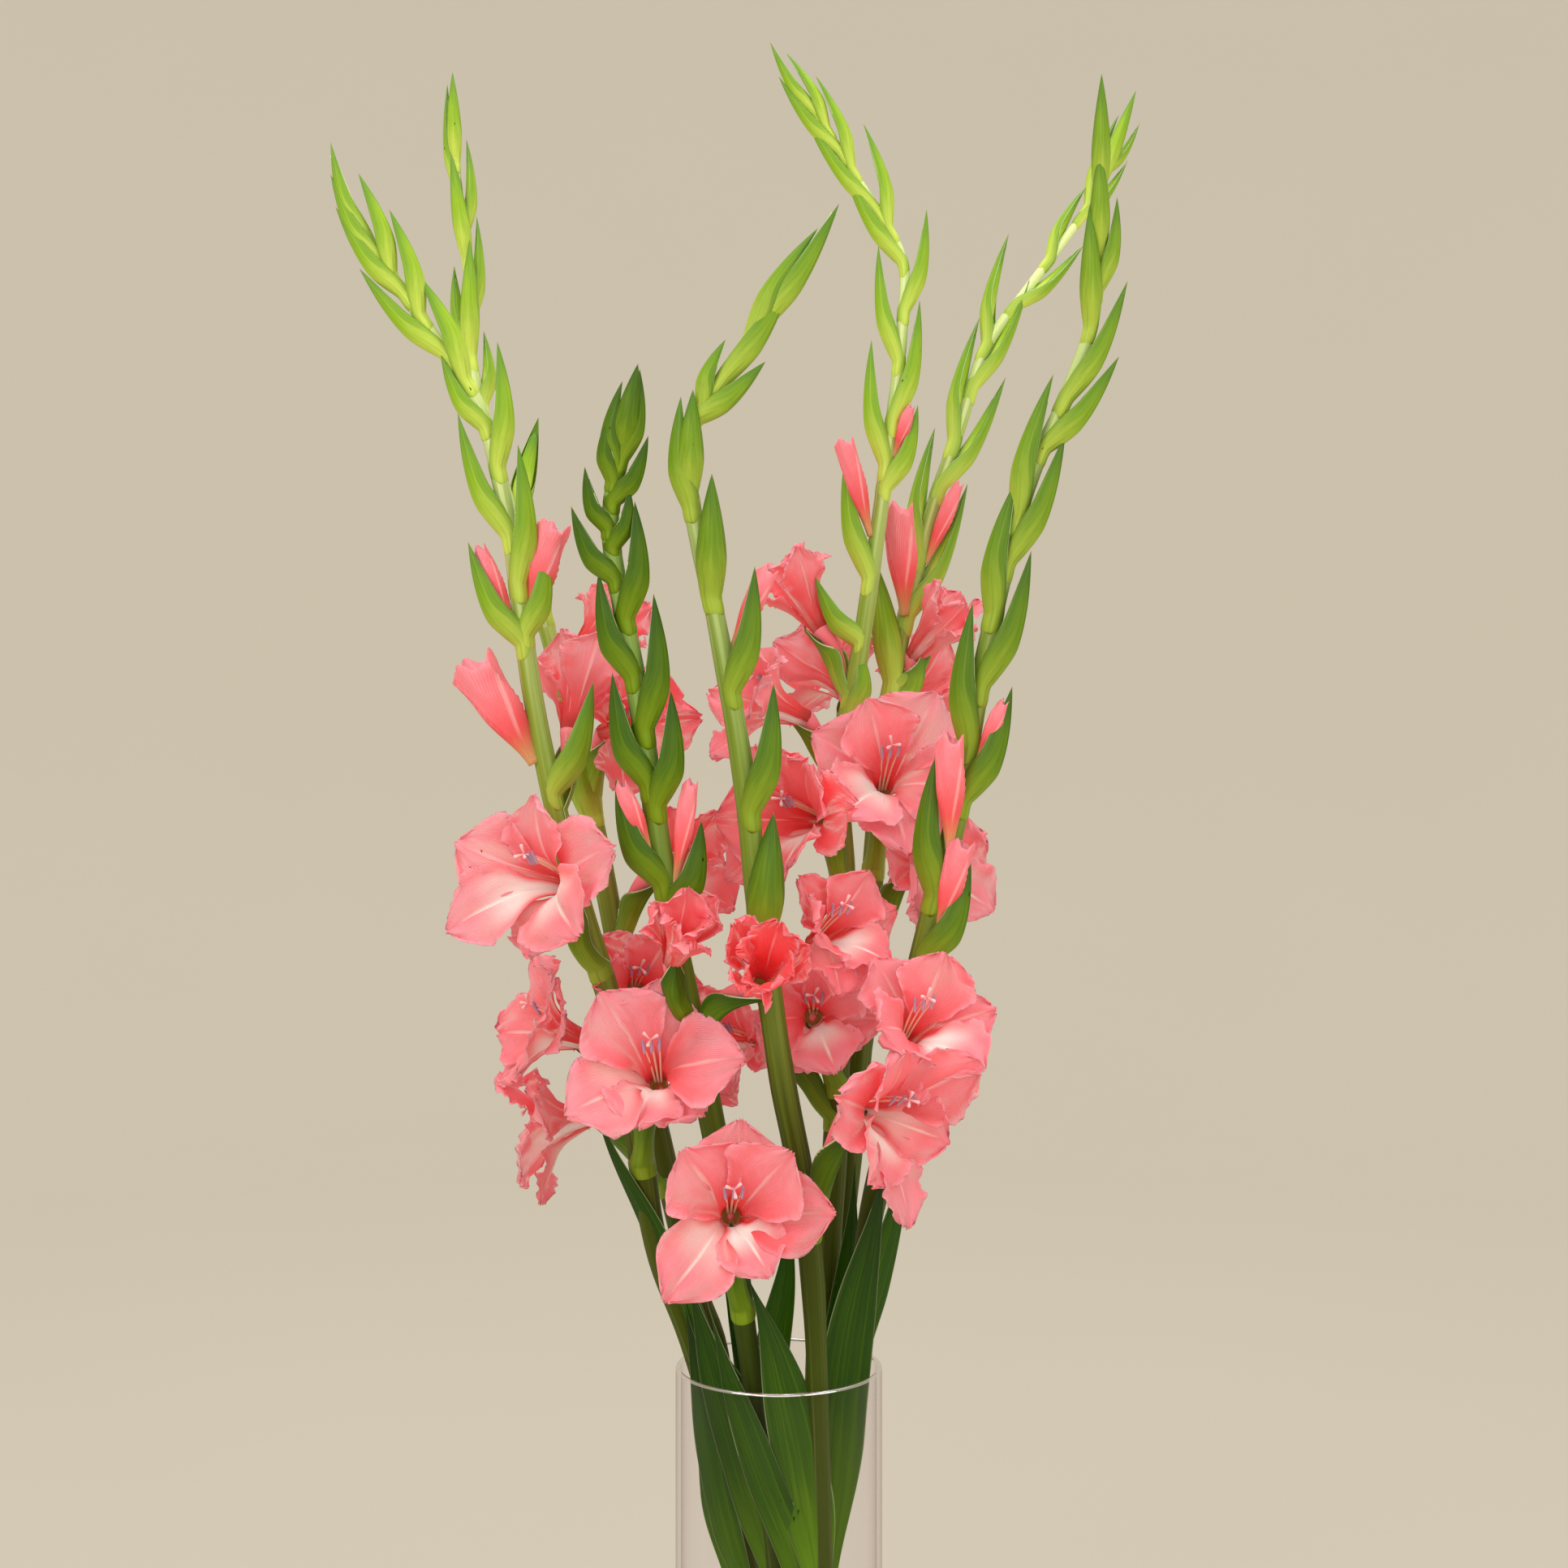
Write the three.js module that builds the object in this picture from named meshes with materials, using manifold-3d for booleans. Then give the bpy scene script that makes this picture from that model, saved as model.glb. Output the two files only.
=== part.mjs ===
// Seven cut gladiolus spikes standing in a clear glass cylinder vase of water.
// Millimetres, +Z up, +X to the right and -Y towards the viewer of the front view.
// The origin is the centre of the vase's base, on the surface that it stands on.
import * as THREE from "three";
import { mergeGeometries } from "three/addons/utils/BufferGeometryUtils.js";
import Module from "manifold-3d";

const wasm = await Module();
wasm.setup();

// The vase, and the water in it.
const VASE_RADIUS = 60;
const VASE_HEIGHT = 300;
const VASE_WALL = 3;
const VASE_BASE = 10;
const VASE_SIDES = 32;
const WATER_LEVEL = 140;

// The front view is drawn from this point, so what lies deeper is drawn smaller.
const EYE = new THREE.Vector3(3, -1220, 638);

// Clearance between pieces, and how much a piece is grown to cut its clearance from another.
const CLEARANCE = 0.3;
const GROWN = CLEARANCE + 0.05;
// Points closer together than this are one point.
const SAME_POINT = 1e-3;

// Stems: radius at the foot, above the rim where leaf sheaths wrap them, and at the tip; the share of
// the length from which they come to a point; the heights between which they swell and taper; and
// their facets.
const STEM_FOOT_RADIUS = 5.6;
const STEM_WIDE_RADIUS = 7.4;
const STEM_TIP_RADIUS = 1.5;
const STEM_POINT_FROM = 0.93;
const SWELL_FROM = 260;
const SWELL_TO = 420;
const TAPER_FROM = 400;
const TAPER_TO = 1240;
const STEM_SIDES = 6;
const STEM_STEPS = 12;

// Bracts, the green sheaths that clasp the stem and hold each floret: half width on a stem of no
// radius, what each millimetre of the stem's radius adds, and the keel's reach against that.
const BRACT_HALF_WIDTH = 1.6;
const BRACT_STEM_SHARE = 1.3;
const BRACT_KEEL = 1.12;
const BRACT_BACK = 1.4;
const BRACT_BULGE = 1.4;
const BRACT_SIDES = 4;
const BRACT_STEPS = 3;
const BRACT_LENGTH = 56;
// The sheath of an open floret: its room outside the tube, its breadth against the tube's, its reach
// outwards and inwards, its root's half width and drop below the floret's root, and how far its tip
// stands past the tube's mouth.
const SPATHE_ROOM = 1.4;
const SPATHE_BREADTH = 1.15;
const SPATHE_KEEL = 2.6;
const SPATHE_BACK = 0.7;
const SPATHE_ROOT = 3;
const SPATHE_DROP = 8;
const SPATHE_TIP = 8;

// Florets: six petals that grow from the ring at the mouth of a tube, three inside three.
const PETALS = 6;
const PETAL_ROWS = { plain: 3, fine: 4 };
const PETAL_THICKNESS = 0.8;
const PETAL_WIDTH = 0.37;
const THROAT_ANGLE = 0.16;
const TUBE_ROOT_RADIUS = 3;
const RING_RADIUS = 5.2;
const WHORL_STEP = 1.5;
const RUFFLE = 3.6;
const BUD_SIDES = 6;
const BUD_STEPS = 3;

// Leaves: sword blades with a low keel.
const LEAF_KEEL = 1.6;
const LEAF_STEPS = 5;

const COLOURS = {
  lime: 0x9cc844,
  green: 0x6fa238,
  dark_green: 0x3f6f2c,
  salmon: 0xf08c8c,
  coral: 0xf27a74,
  glass: 0xd9d0d2,
  water: 0xcfd8d4,
};

// Each stem runs from its cut end on the vase's base to its tip: x, y and z.
// Points above the rim are where the front view shows them, at the depth y.
// A bract is the height of its root, the x and z of its tip, and the side its keel faces.
// A leaf is its width, then points from its root on the stem to its tip.
const SPIKES = {
  spike_left: {
    colour: COLOURS.lime,
    turn: 0.35,
    stem: [
      [22, 14, 12.2], [-48, 3, 300], [-71, -4, 368], [-90, -12, 480], [-123, -22, 594], [-143, -32, 688],
      [-158, -42, 792], [-175, -48, 858], [-206, -54, 906], [-241, -58, 958], [-260, -62, 1004],
    ],
    bracts: [
      [634, -108, 698, "R"], [721, -181, 779, "L"], [726, -135, 778, "R"], [756, -152, 836, "R"],
      [784, -187, 854, "L"], [825, -164, 896, "R"], [847, -197, 889, "L"], [875, -210, 935, "R"],
      [890, -244, 938, "L"], [913, -227, 973, "R"], [925, -258, 974, "L"], [936, -245, 994, "R"],
      [955, -261, 1012, "L"], [943, -261, 993, "L"],
    ],
    leaves: [
      [22, [-16, 8, 170], [-42, -4, 300], [-72, -10, 376], [-98, -16, 428], [-112, -20, 470]],
      [18, [-12, 7, 152], [-28, -22, 205], [-40, -20, 258], [-47, -10, 300], [-56, -8, 346]],
    ],
  },
  spike_left_back: {
    colour: COLOURS.lime,
    turn: -0.4,
    stem: [
      [-12, 20, 12.2], [-36, 28, 300], [-50, 34, 350], [-92, 48, 534], [-115, 56, 651],
      [-133, 64, 721], [-149, 74, 773], [-166, 84, 830], [-180, 92, 891], [-181, 100, 939],
      [-187, 106, 986], [-190, 112, 1044],
    ],
    bracts: [
      [620, -122, 668, "F"], [736, -150, 800, "B"], [790, -140, 852, "B"], [858, -172, 902, "R"],
      [891, -189, 940, "L"], [886, -180, 956, "F"], [906, -176, 969, "R"], [943, -191, 1004, "F"],
      [958, -182, 1014, "R"], [984, -193, 1046, "L"], [1000, -190, 1053, "F"],
    ],
    leaves: [
      [20, [-28, 26, 160], [-36, 16, 206], [-40, 6, 262], [-43, 6, 300], [-54, 10, 336]],
      [22, [-25, 28, 166], [-14, 34, 240], [-4, 38, 300], [4, 44, 352], [8, 52, 404]],
    ],
  },
  spike_short: {
    colour: COLOURS.dark_green,
    turn: 0.3,
    stem: [
      [20, -20, 11.6], [-15, -32, 300], [-33, -44, 410], [-50, -54, 495], [-63, -62, 561], [-77, -72, 655],
      [-84, -78, 702], [-98, -84, 783], [-97, -88, 806], [-90, -94, 839], [-82, -98, 872],
    ],
    bracts: [
      [565, -45, 617, "R"], [580, -95, 642, "L"], [626, -63, 693, "R"], [638, -97, 703, "L"],
      [671, -73, 749, "R"], [701, -105, 762, "L"], [736, -84, 803, "R"], [758, -121, 800, "L"],
      [778, -87, 811, "R"], [788, -113, 823, "L"], [804, -76, 841, "R"], [816, -98, 855, "L"],
      [828, -81, 880, "R"], [822, -91, 873, "L"], [834, -82, 883, "F"],
    ],
    leaves: [
      [24, [3, -25, 165], [-12, -30, 222], [-36, -27, 300], [-48, -25, 334], [-56, -22, 362]],
      [20, [8, -23, 150], [10, -44, 200], [-8, -50, 250], [-26, -46, 300], [-42, -44, 340]],
    ],
  },
  spike_bent: {
    colour: COLOURS.green,
    turn: 0.45,
    stem: [
      [30, -38, 11.2], [22, -44, 300], [19, -48, 358], [12, -54, 414], [2, -60, 466], [-10, -66, 551],
      [-21, -72, 646], [-36, -78, 731], [-53, -84, 816], [-51, -86, 846], [-38, -86, 866], [-14, -86, 901],
      [12, -84, 939], [32, -82, 970],
    ],
    bracts: [
      [550, -3, 622, "F"], [622, -3, 697, "R"], [693, -14, 765, "R"], [748, -39, 819, "F"],
      [800, -57, 864, "L"], [809, -50, 868, "F"], [851, -8, 884, "R"], [858, -31, 897, "L"],
      [873, 10, 939, "R"], [896, 23, 962, "L"], [905, 35, 976, "R"],
    ],
    leaves: [
      [30, [26, -42, 166], [17, -47, 232], [3, -46, 300], [-9, -44, 328], [-20, -40, 356]],
    ],
  },
  spike_tall: {
    colour: COLOURS.lime,
    turn: 0.2,
    stem: [
      [24, 30, 11.2], [26, 21, 300], [28, 22, 345], [33, 22, 433], [35, 22, 528], [38, 24, 580],
      [36, 26, 641], [49, 30, 726], [61, 34, 811], [72, 38, 906], [72, 40, 943], [47, 40, 988],
      [19, 40, 1033], [-2, 40, 1062],
    ],
    bracts: [
      [680, 47, 718, "R"], [721, 21, 759, "L"], [758, 39, 833, "L"], [810, 81, 859, "R"],
      [824, 54, 897, "L"], [849, 82, 920, "R"], [884, 58, 952, "L"], [913, 86, 973, "R"],
      [942, 37, 999, "L"], [962, 49, 1023, "R"], [972, 14, 1029, "L"], [996, 21, 1051, "R"],
      [1006, 0, 1050, "L"], [1020, 4, 1064, "R"], [1028, -5, 1070, "L"],
    ],
    leaves: [
      [22, [24, 24, 164], [-2, 6, 238], [-32, -8, 300], [-42, -12, 322], [-50, -14, 344]],
      [24, [27, 24, 178], [36, 12, 300], [40, 6, 350], [43, 2, 394], [44, 0, 424]],
    ],
  },
  spike_right_back: {
    colour: COLOURS.lime,
    turn: -0.35,
    stem: [
      [-5, 40, 12.2], [33, 36, 300], [38, 42, 386], [47, 50, 480], [54, 58, 575], [61, 64, 669],
      [67, 70, 702], [85, 80, 783], [108, 92, 854], [120, 98, 891], [144, 106, 925], [165, 112, 953],
      [184, 116, 981], [206, 122, 1036],
    ],
    bracts: [
      [698, 56, 769, "F"], [696, 90, 717, "R"], [736, 110, 813, "R"], [769, 91, 846, "L"],
      [810, 132, 875, "R"], [836, 117, 910, "L"], [868, 146, 932, "R"], [892, 134, 959, "L"],
      [916, 178, 953, "R"], [943, 179, 986, "L"], [968, 203, 1001, "R"], [974, 198, 1028, "L"],
      [995, 210, 1023, "R"], [986, 208, 1042, "F"],
    ],
    leaves: [
      [24, [14, 38, 168], [-4, 26, 240], [-18, 14, 300], [-26, 8, 330], [-34, 4, 360]],
      [20, [18, 38, 176], [26, 38, 300], [34, 62, 400], [52, 84, 490], [66, 92, 562]],
    ],
  },
  spike_right: {
    colour: COLOURS.green,
    turn: 0.4,
    stem: [
      [1, -4, 12], [45, -5, 300], [52, -8, 377], [64, -14, 433], [83, -22, 537], [104, -28, 622],
      [120, -34, 712], [139, -40, 792], [152, -42, 830], [167, -44, 863], [182, -46, 906], [186, -48, 943],
      [187, -50, 1040],
    ],
    bracts: [
      [535, 112, 592, "R"], [574, 91, 654, "L"], [629, 136, 695, "R"], [662, 113, 744, "L"],
      [696, 147, 774, "R"], [738, 138, 815, "L"], [768, 167, 843, "R"], [795, 160, 877, "L"],
      [834, 198, 887, "R"], [863, 203, 931, "R"], [905, 181, 976, "F"], [926, 197, 980, "R"],
      [948, 187, 1010, "F"], [982, 188, 1052, "F"],
    ],
    leaves: [
      [32, [28, -12, 172], [38, -22, 300], [46, -22, 340], [56, -20, 386], [64, -16, 430]],
      [24, [30, -2, 186], [42, 8, 300], [56, 14, 346], [70, 16, 398], [80, 16, 452]],
    ],
  },
};

// Each floret: its spike, the height of its root on the stem, its throat (x, y and z), the way that
// it faces (degrees right of the viewer and up), its roll, the length of its petals and how far
// they open (0 furled, 1 wide). The rows of facets on a petal follow how well it is shown.
const FLORETS = {
  bloom_front: ["spike_short", 348, [-28, -72, 386], 4, 14, -70, 66, 0.95, "fine"],
  bloom_front_left: ["spike_left", 424, [-70, -40, 462], -4, 26, -50, 67, 0.92, "fine"],
  bloom_front_right: ["spike_bent", 396, [42, -76, 449], 42, -2, -10, 66, 0.85],
  bloom_upper_right: ["spike_right", 442, [72, -42, 486], 22, 28, 24, 62, 0.85],
  bloom_centre: ["spike_short", 494, [-12, -78, 520], 8, 26, 30, 50, 0.3],
  bloom_short_half: ["spike_short", 512, [-62, -72, 534], 20, 44, 0, 44, 0.3],
  bloom_centre_right: ["spike_tall", 508, [20, -14, 545], 34, 22, 25, 57, 0.75],
  bloom_middle: ["spike_right_back", 592, [60, 32, 632], 6, 22, -15, 70, 0.94, "fine"],
  bloom_middle_left: ["spike_tall", 580, [28, 0, 616], -34, 4, 30, 72, 0.7],
  bloom_left: ["spike_left", 538, [-117, -34, 578], -38, 10, 0, 68, 0.95, "fine"],
  bloom_tall_low: ["spike_tall", 466, [20, -4, 502], 0, 8, 30, 58, 0.85],
  bloom_left_low: ["spike_left_back", 448, [-110, 38, 488], -66, 18, 20, 66, 0.85],
  bloom_left_lowest: ["spike_left_back", 404, [-104, 44, 446], -84, -10, 0, 64, 0.78],
  bloom_left_upper: ["spike_left", 628, [-122, -22, 668], 168, 56, 25, 58, 0.5],
  bloom_back_top: ["spike_left_back", 684, [-117, 76, 716], 130, 40, 15, 50, 0.4],
  bloom_back_left: ["spike_left_back", 630, [-102, 42, 668], 40, 4, 20, 60, 0.8],
  bloom_back_low: ["spike_left_back", 546, [-76, 40, 584], 58, 12, 40, 58, 0.8],
  bloom_tall_side: ["spike_tall", 644, [16, 22, 676], -66, 22, 20, 60, 0.68],
  bloom_tall_back: ["spike_tall", 652, [40, 50, 690], -146, 34, 0, 58, 0.65],
  bloom_tall_top: ["spike_tall", 694, [25, 36, 728], -112, 58, 0, 50, 0.35],
  bloom_right_low: ["spike_right_back", 548, [74, 34, 592], 34, -4, 0, 58, 0.75],
  bloom_right_back: ["spike_right_back", 636, [74, 96, 680], 150, 40, 30, 52, 0.5],
  bloom_right_top: ["spike_right_back", 688, [78, 70, 712], 58, 46, 0, 52, 0.25],
  bloom_behind_centre: ["spike_tall", 446, [-10, 20, 486], -40, 6, 10, 56, 0.8],
  bloom_behind_left: ["spike_left_back", 486, [-84, 30, 518], 10, 10, 25, 52, 0.7],
};

// The petals of the florets that are seen best, from the first petal clockwise: degrees that each
// leans clockwise, and its length, opening and breadth against the floret's own.
const PETAL_LOOKS = {
  bloom_front: [
    [30, 0.95, 0.95, 1.2], [15, 1.05, 1.0, 1.05], [-5, 1.0, 0.9, 1.2],
    [-20, 1.12, 1.1, 1.0], [-20, 0.82, 0.95, 0.85], [-10, 1.2, 1.12, 0.95],
  ],
  bloom_front_left: [
    [12, 1.05, 0.95, 1.2], [-5, 1.05, 0.85, 1.0], [18, 1.08, 1.1, 1.15],
    [0, 0.8, 1.0, 0.9], [0, 0.74, 1.0, 1.05], [-15, 1.12, 1.05, 1.1],
  ],
  bloom_front_right: [
    [-5, 1.0, 0.9, 1.1], [5, 1.22, 0.9, 1.15], [5, 0.85, 0.9, 0.9],
    [12, 1.22, 1.1, 0.72], [-8, 0.95, 1.0, 0.9], [0, 1.05, 1.15, 1.05],
  ],
  bloom_middle: [
    [-5, 0.98, 0.75, 1.1], [-12, 1.1, 0.95, 1.25], [5, 0.85, 0.9, 1.0],
    [8, 1.05, 1.05, 1.0], [0, 1.0, 0.95, 1.05], [12, 1.0, 1.05, 1.1],
  ],
  bloom_left: [
    [0, 0.95, 1.0, 0.85], [10, 1.1, 1.25, 1.1], [5, 1.05, 1.15, 1.15],
    [-5, 0.9, 1.0, 0.9], [-5, 1.2, 1.05, 0.95], [-10, 1.12, 0.75, 1.2],
  ],
};

// Each pink bud: its spike, the height of its root on the stem, its tip (x, y and z), its radius,
// and its mouth's share of that.
const BUDS = {
  bud_left_wide: ["spike_left", 650, [-178, -40, 708], 12, 1.15],
  bud_left: ["spike_left", 730, [-174, -42, 776], 5, 0.7],
  bud_left_right: ["spike_left", 734, [-131, -40, 788], 8.6, 1.2],
  bud_short_left: ["spike_short", 600, [-92, -80, 638], 5, 0.7],
  bud_short_right: ["spike_short", 580, [-51, -74, 639], 5.4, 0.75],
  bud_bent: ["spike_bent", 716, [-6, -66, 762], 6, 0.9],
  bud_tall: ["spike_tall", 782, [38, 20, 838], 6, 1],
  bud_tall_right: ["spike_tall", 828, [77, 28, 858], 4, 0.6],
  bud_right_back: ["spike_right_back", 766, [105, 74, 813], 5, 0.6],
  bud_right_opening: ["spike_right_back", 736, [70, 52, 799], 9.4, 0.95],
  bud_right: ["spike_right", 600, [100, -46, 665], 8.2, 0.95],
  bud_right_tip: ["spike_right", 650, [131, -40, 686], 4.6, 0.6],
  bud_right_low: ["spike_right", 552, [107, -36, 604], 7.4, 1],
};

const UP = new THREE.Vector3(0, 0, 1);
const NEAR = new THREE.Vector3(0, -1, 0);

function point([x, y, z]) {
  return new THREE.Vector3(x, y, z);
}

// A point above the rim stands where the front view shows x and z, at the depth y.
function seen(place) {
  const flat = point(place);
  if (flat.z <= VASE_HEIGHT) return flat;
  const scale = (flat.y - EYE.y) / -EYE.y;
  return new THREE.Vector3(EYE.x + (flat.x - EYE.x) * scale, flat.y, EYE.z + (flat.z - EYE.z) * scale);
}

function mix(from, to, share) {
  return from + (to - from) * share;
}

function smooth(from, to, value) {
  return THREE.MathUtils.smoothstep(value, from, to);
}

// The same uneven share from 0 to 1 for the same seed.
function vary(seed) {
  const share = Math.sin(seed * 127.1) * 43758.5453;
  return share - Math.floor(share);
}

function square(direction, axis) {
  return direction.clone().addScaledVector(axis, -direction.dot(axis)).normalize();
}

function shaped(geometry, place) {
  const points = geometry.attributes.position;
  for (let i = 0; i < points.count; i += 1) {
    const moved = place(points.getX(i), points.getY(i), points.getZ(i));
    points.setXYZ(i, moved.x, moved.y, moved.z);
  }
  return geometry;
}

// A geometry's positions and triangles alone, with the points that lie together made one.
function joined(geometry) {
  const { position } = geometry.attributes;
  const kept = [];
  const sameAs = Array.from({ length: position.count }, (_, i) => {
    const place = new THREE.Vector3().fromBufferAttribute(position, i);
    const found = kept.findIndex((other) => other.distanceTo(place) < SAME_POINT);
    return found < 0 ? kept.push(place) - 1 : found;
  });
  const bare = new THREE.BufferGeometry().setFromPoints(kept);
  return bare.setIndex([...geometry.index.array].map((corner) => sameAs[corner]));
}

function trianglesOf(geometry) {
  const corners = geometry.index.array;
  const triangles = [];
  for (let i = 0; i < corners.length; i += 3) {
    const [a, b, c] = corners.slice(i, i + 3);
    if (a !== b && b !== c && c !== a) triangles.push([a, b, c]);
  }
  return triangles;
}

function solid(geometry) {
  const merged = joined(geometry);
  const vertProperties = merged.attributes.position.array;
  const triVerts = Uint32Array.from(trianglesOf(merged).flat());
  return new wasm.Manifold(new wasm.Mesh({ numProp: 3, vertProperties, triVerts }));
}

// A sheet given its thickness: the same triangles on both faces, and a rim along its open edges,
// except along its last row, the root, whose normals are given and which joins another surface.
function thickened(sheet, thickness, rootNormals) {
  const flat = joined(sheet);
  flat.computeVertexNormals();
  const { position, normal } = flat.attributes;
  const count = position.count;
  const rootStart = count - rootNormals.length;
  rootNormals.forEach(({ x, y, z }, i) => normal.setXYZ(rootStart + i, x, y, z));
  const points = [];
  [thickness / 2, -thickness / 2].forEach((offset) => {
    for (let i = 0; i < count; i += 1) {
      points.push(position.getX(i) + normal.getX(i) * offset);
      points.push(position.getY(i) + normal.getY(i) * offset);
      points.push(position.getZ(i) + normal.getZ(i) * offset);
    }
  });
  const triangles = trianglesOf(flat);
  const edges = new Set();
  triangles.forEach(([a, b, c]) => [[a, b], [b, c], [c, a]].forEach((edge) => edges.add(edge.join())));
  const index = [];
  triangles.forEach(([a, b, c]) => {
    index.push(a, b, c, c + count, b + count, a + count);
    [[a, b], [b, c], [c, a]]
      .filter(([from, to]) => !edges.has([to, from].join()) && Math.min(from, to) < rootStart)
      .forEach(([from, to]) => index.push(to, from, from + count, to, from + count, to + count));
  });
  const closed = new THREE.BufferGeometry();
  closed.setAttribute("position", new THREE.Float32BufferAttribute(points, 3));
  return closed.setIndex(index);
}

// A body of rings along a path: at(s) gives a ring's middle, its out direction, its direction
// along the path, and its half width, and its reach on the out side and on the back.
function ringed(sides, steps, at) {
  return shaped(new THREE.CylinderGeometry(1, 1, 1, sides, steps), (x, y, z) => {
    const ring = at(y + 0.5);
    const across = new THREE.Vector3().crossVectors(ring.along, ring.out);
    const reach = z > 0 ? z * ring.front : z * ring.back;
    return ring.middle.clone().addScaledVector(across, x * ring.half).addScaledVector(ring.out, reach);
  });
}

function stemCurve(spike) {
  return new THREE.CatmullRomCurve3(spike.stem.map(seen), false, "centripetal");
}

function stemRadius(height) {
  const wrapped = mix(STEM_FOOT_RADIUS, STEM_WIDE_RADIUS, smooth(SWELL_FROM, SWELL_TO, height));
  return mix(wrapped, STEM_TIP_RADIUS, smooth(TAPER_FROM, TAPER_TO, height));
}

// The point of a stem at a height, and its direction there.
function stemAt(curve, height) {
  let low = 0;
  let high = 1;
  for (let i = 0; i < 24; i += 1) {
    const middle = (low + high) / 2;
    if (curve.getPoint(middle).z < height) low = middle;
    else high = middle;
  }
  return { at: curve.getPoint(low), along: curve.getTangent(low) };
}

// The point of a stem that the front view shows at a height.
function stemSeenAt(curve, height) {
  const scale = (stemAt(curve, height).at.y - EYE.y) / -EYE.y;
  return stemAt(curve, EYE.z + (height - EYE.z) * scale);
}

function stem(curve, grow) {
  return solid(ringed(STEM_SIDES, STEM_STEPS, (s) => {
    const middle = curve.getPointAt(s);
    const along = curve.getTangentAt(s);
    const radius = stemRadius(middle.z) * mix(1, 0.5, smooth(STEM_POINT_FROM, 1, s)) + grow;
    return { middle, along, out: square(NEAR, along), half: radius, front: radius, back: radius };
  }));
}

// A pointed, keeled boat whose root clasps the stem and whose keel faces out.
function bract(root, stemHere, tip, keel, grow) {
  const along = tip.clone().sub(root).normalize();
  const out = square(keel, along);
  const size = Math.min(1, 0.4 + 0.6 * root.distanceTo(tip) / BRACT_LENGTH);
  const broad = (BRACT_HALF_WIDTH + BRACT_STEM_SHARE * stemHere) * size;
  const clasp = 0.45 * stemHere;
  return solid(ringed(BRACT_SIDES, BRACT_STEPS, (s) => {
    const opened = smooth(0, 0.35, s);
    const narrow = s > 0.99 ? 0 : 1 - smooth(0.35, 1.05, s) ** 1.3;
    const middle = root.clone().lerp(tip, s).addScaledVector(along, (s - 0.5) * 2 * grow);
    middle.addScaledVector(out, BRACT_BULGE * size * Math.sin(Math.PI * s));
    return {
      middle,
      along,
      out,
      half: mix(clasp, broad, opened) * narrow + grow,
      front: mix(clasp, broad * BRACT_KEEL, opened) * narrow + grow,
      back: BRACT_BACK * narrow + grow,
    };
  }));
}

function keelOf(side, turn) {
  if (side === "F") return NEAR.clone();
  if (side === "B") return NEAR.clone().negate();
  const right = side === "R" ? 1 : -1;
  return new THREE.Vector3(right * Math.cos(turn), -Math.sin(turn), 0);
}

function stemBract(curve, turn, [rootHeight, tipX, tipZ, side], grow) {
  const depth = stemAt(curve, tipZ).at.y;
  const scale = (depth - EYE.y) / -EYE.y;
  const rootZ = EYE.z + (rootHeight - EYE.z) * scale;
  const { at } = stemAt(curve, rootZ);
  const keel = keelOf(side, turn);
  const root = at.clone().addScaledVector(keel, stemRadius(at.z) * 0.3);
  const tip = seen([tipX, depth + keel.y * 6, tipZ]);
  return bract(root, stemRadius(at.z), tip, keel, grow);
}

// A sword blade through its points, a keeled diamond in section, which faces the viewer.
function leaf([width, ...route], grow) {
  const curve = new THREE.CatmullRomCurve3(route.map(seen), false, "centripetal");
  return solid(ringed(4, LEAF_STEPS, (s) => {
    const middle = curve.getPointAt(s);
    const along = curve.getTangentAt(s);
    const broad = mix(0.3, 1, smooth(0, 0.35, s)) * (1 - smooth(0.45, 1.02, s) ** 1.6);
    const thick = s > 0.999 ? grow : LEAF_KEEL * mix(0.7, 1, broad) / 2 + grow;
    const out = square(new THREE.Vector3(middle.x / 90, -1, 0), along);
    const half = width / 2 * (s > 0.999 ? 0 : broad) + grow;
    return { middle, along, out, half, front: thick, back: thick };
  }));
}

// The frame of a floret: its axis, and its up and right as its own viewer sees them.
function facing(turnRight, turnUp) {
  const right = THREE.MathUtils.degToRad(turnRight);
  const up = THREE.MathUtils.degToRad(turnUp);
  const axis = new THREE.Vector3(
    Math.sin(right) * Math.cos(up), -Math.cos(right) * Math.cos(up), Math.sin(up),
  );
  const top = square(UP, axis);
  return { axis, top, side: new THREE.Vector3().crossVectors(top, axis) };
}

// The middle line of a petal at s from its root to its tip: how far out, how far forward, how steep.
function petalLine(s, length, opening, start) {
  const parts = 12;
  let out = start;
  let forward = 0;
  const slope = (share) => mix(THROAT_ANGLE, opening, smooth(0.12, 0.62, share))
    + 0.35 * opening * smooth(0.6, 1, share);
  for (let i = 0; i < parts; i += 1) {
    const angle = slope((i + 0.5) * s / parts);
    out += Math.sin(angle) * length * s / parts;
    forward += Math.cos(angle) * length * s / parts;
  }
  return { out, forward, angle: slope(s) };
}

function petalHalfWidth(s, breadth, out) {
  const broad = breadth * smooth(-0.1, 0.66, s);
  const falling = s < 0.58 ? 1 : Math.max(0.03, 1 - ((s - 0.58) / 0.43) ** 2.1) ** 0.7;
  const room = out * mix(0.46, 1.05, smooth(0.32, 0.5, s));
  return Math.min(broad, room) * falling;
}

// A direction square to a floret's axis, turned clockwise from its top.
function spoke(floret, angle) {
  const { top, side } = floret.frame;
  return top.clone().multiplyScalar(Math.cos(angle)).addScaledVector(side, Math.sin(angle));
}

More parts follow.
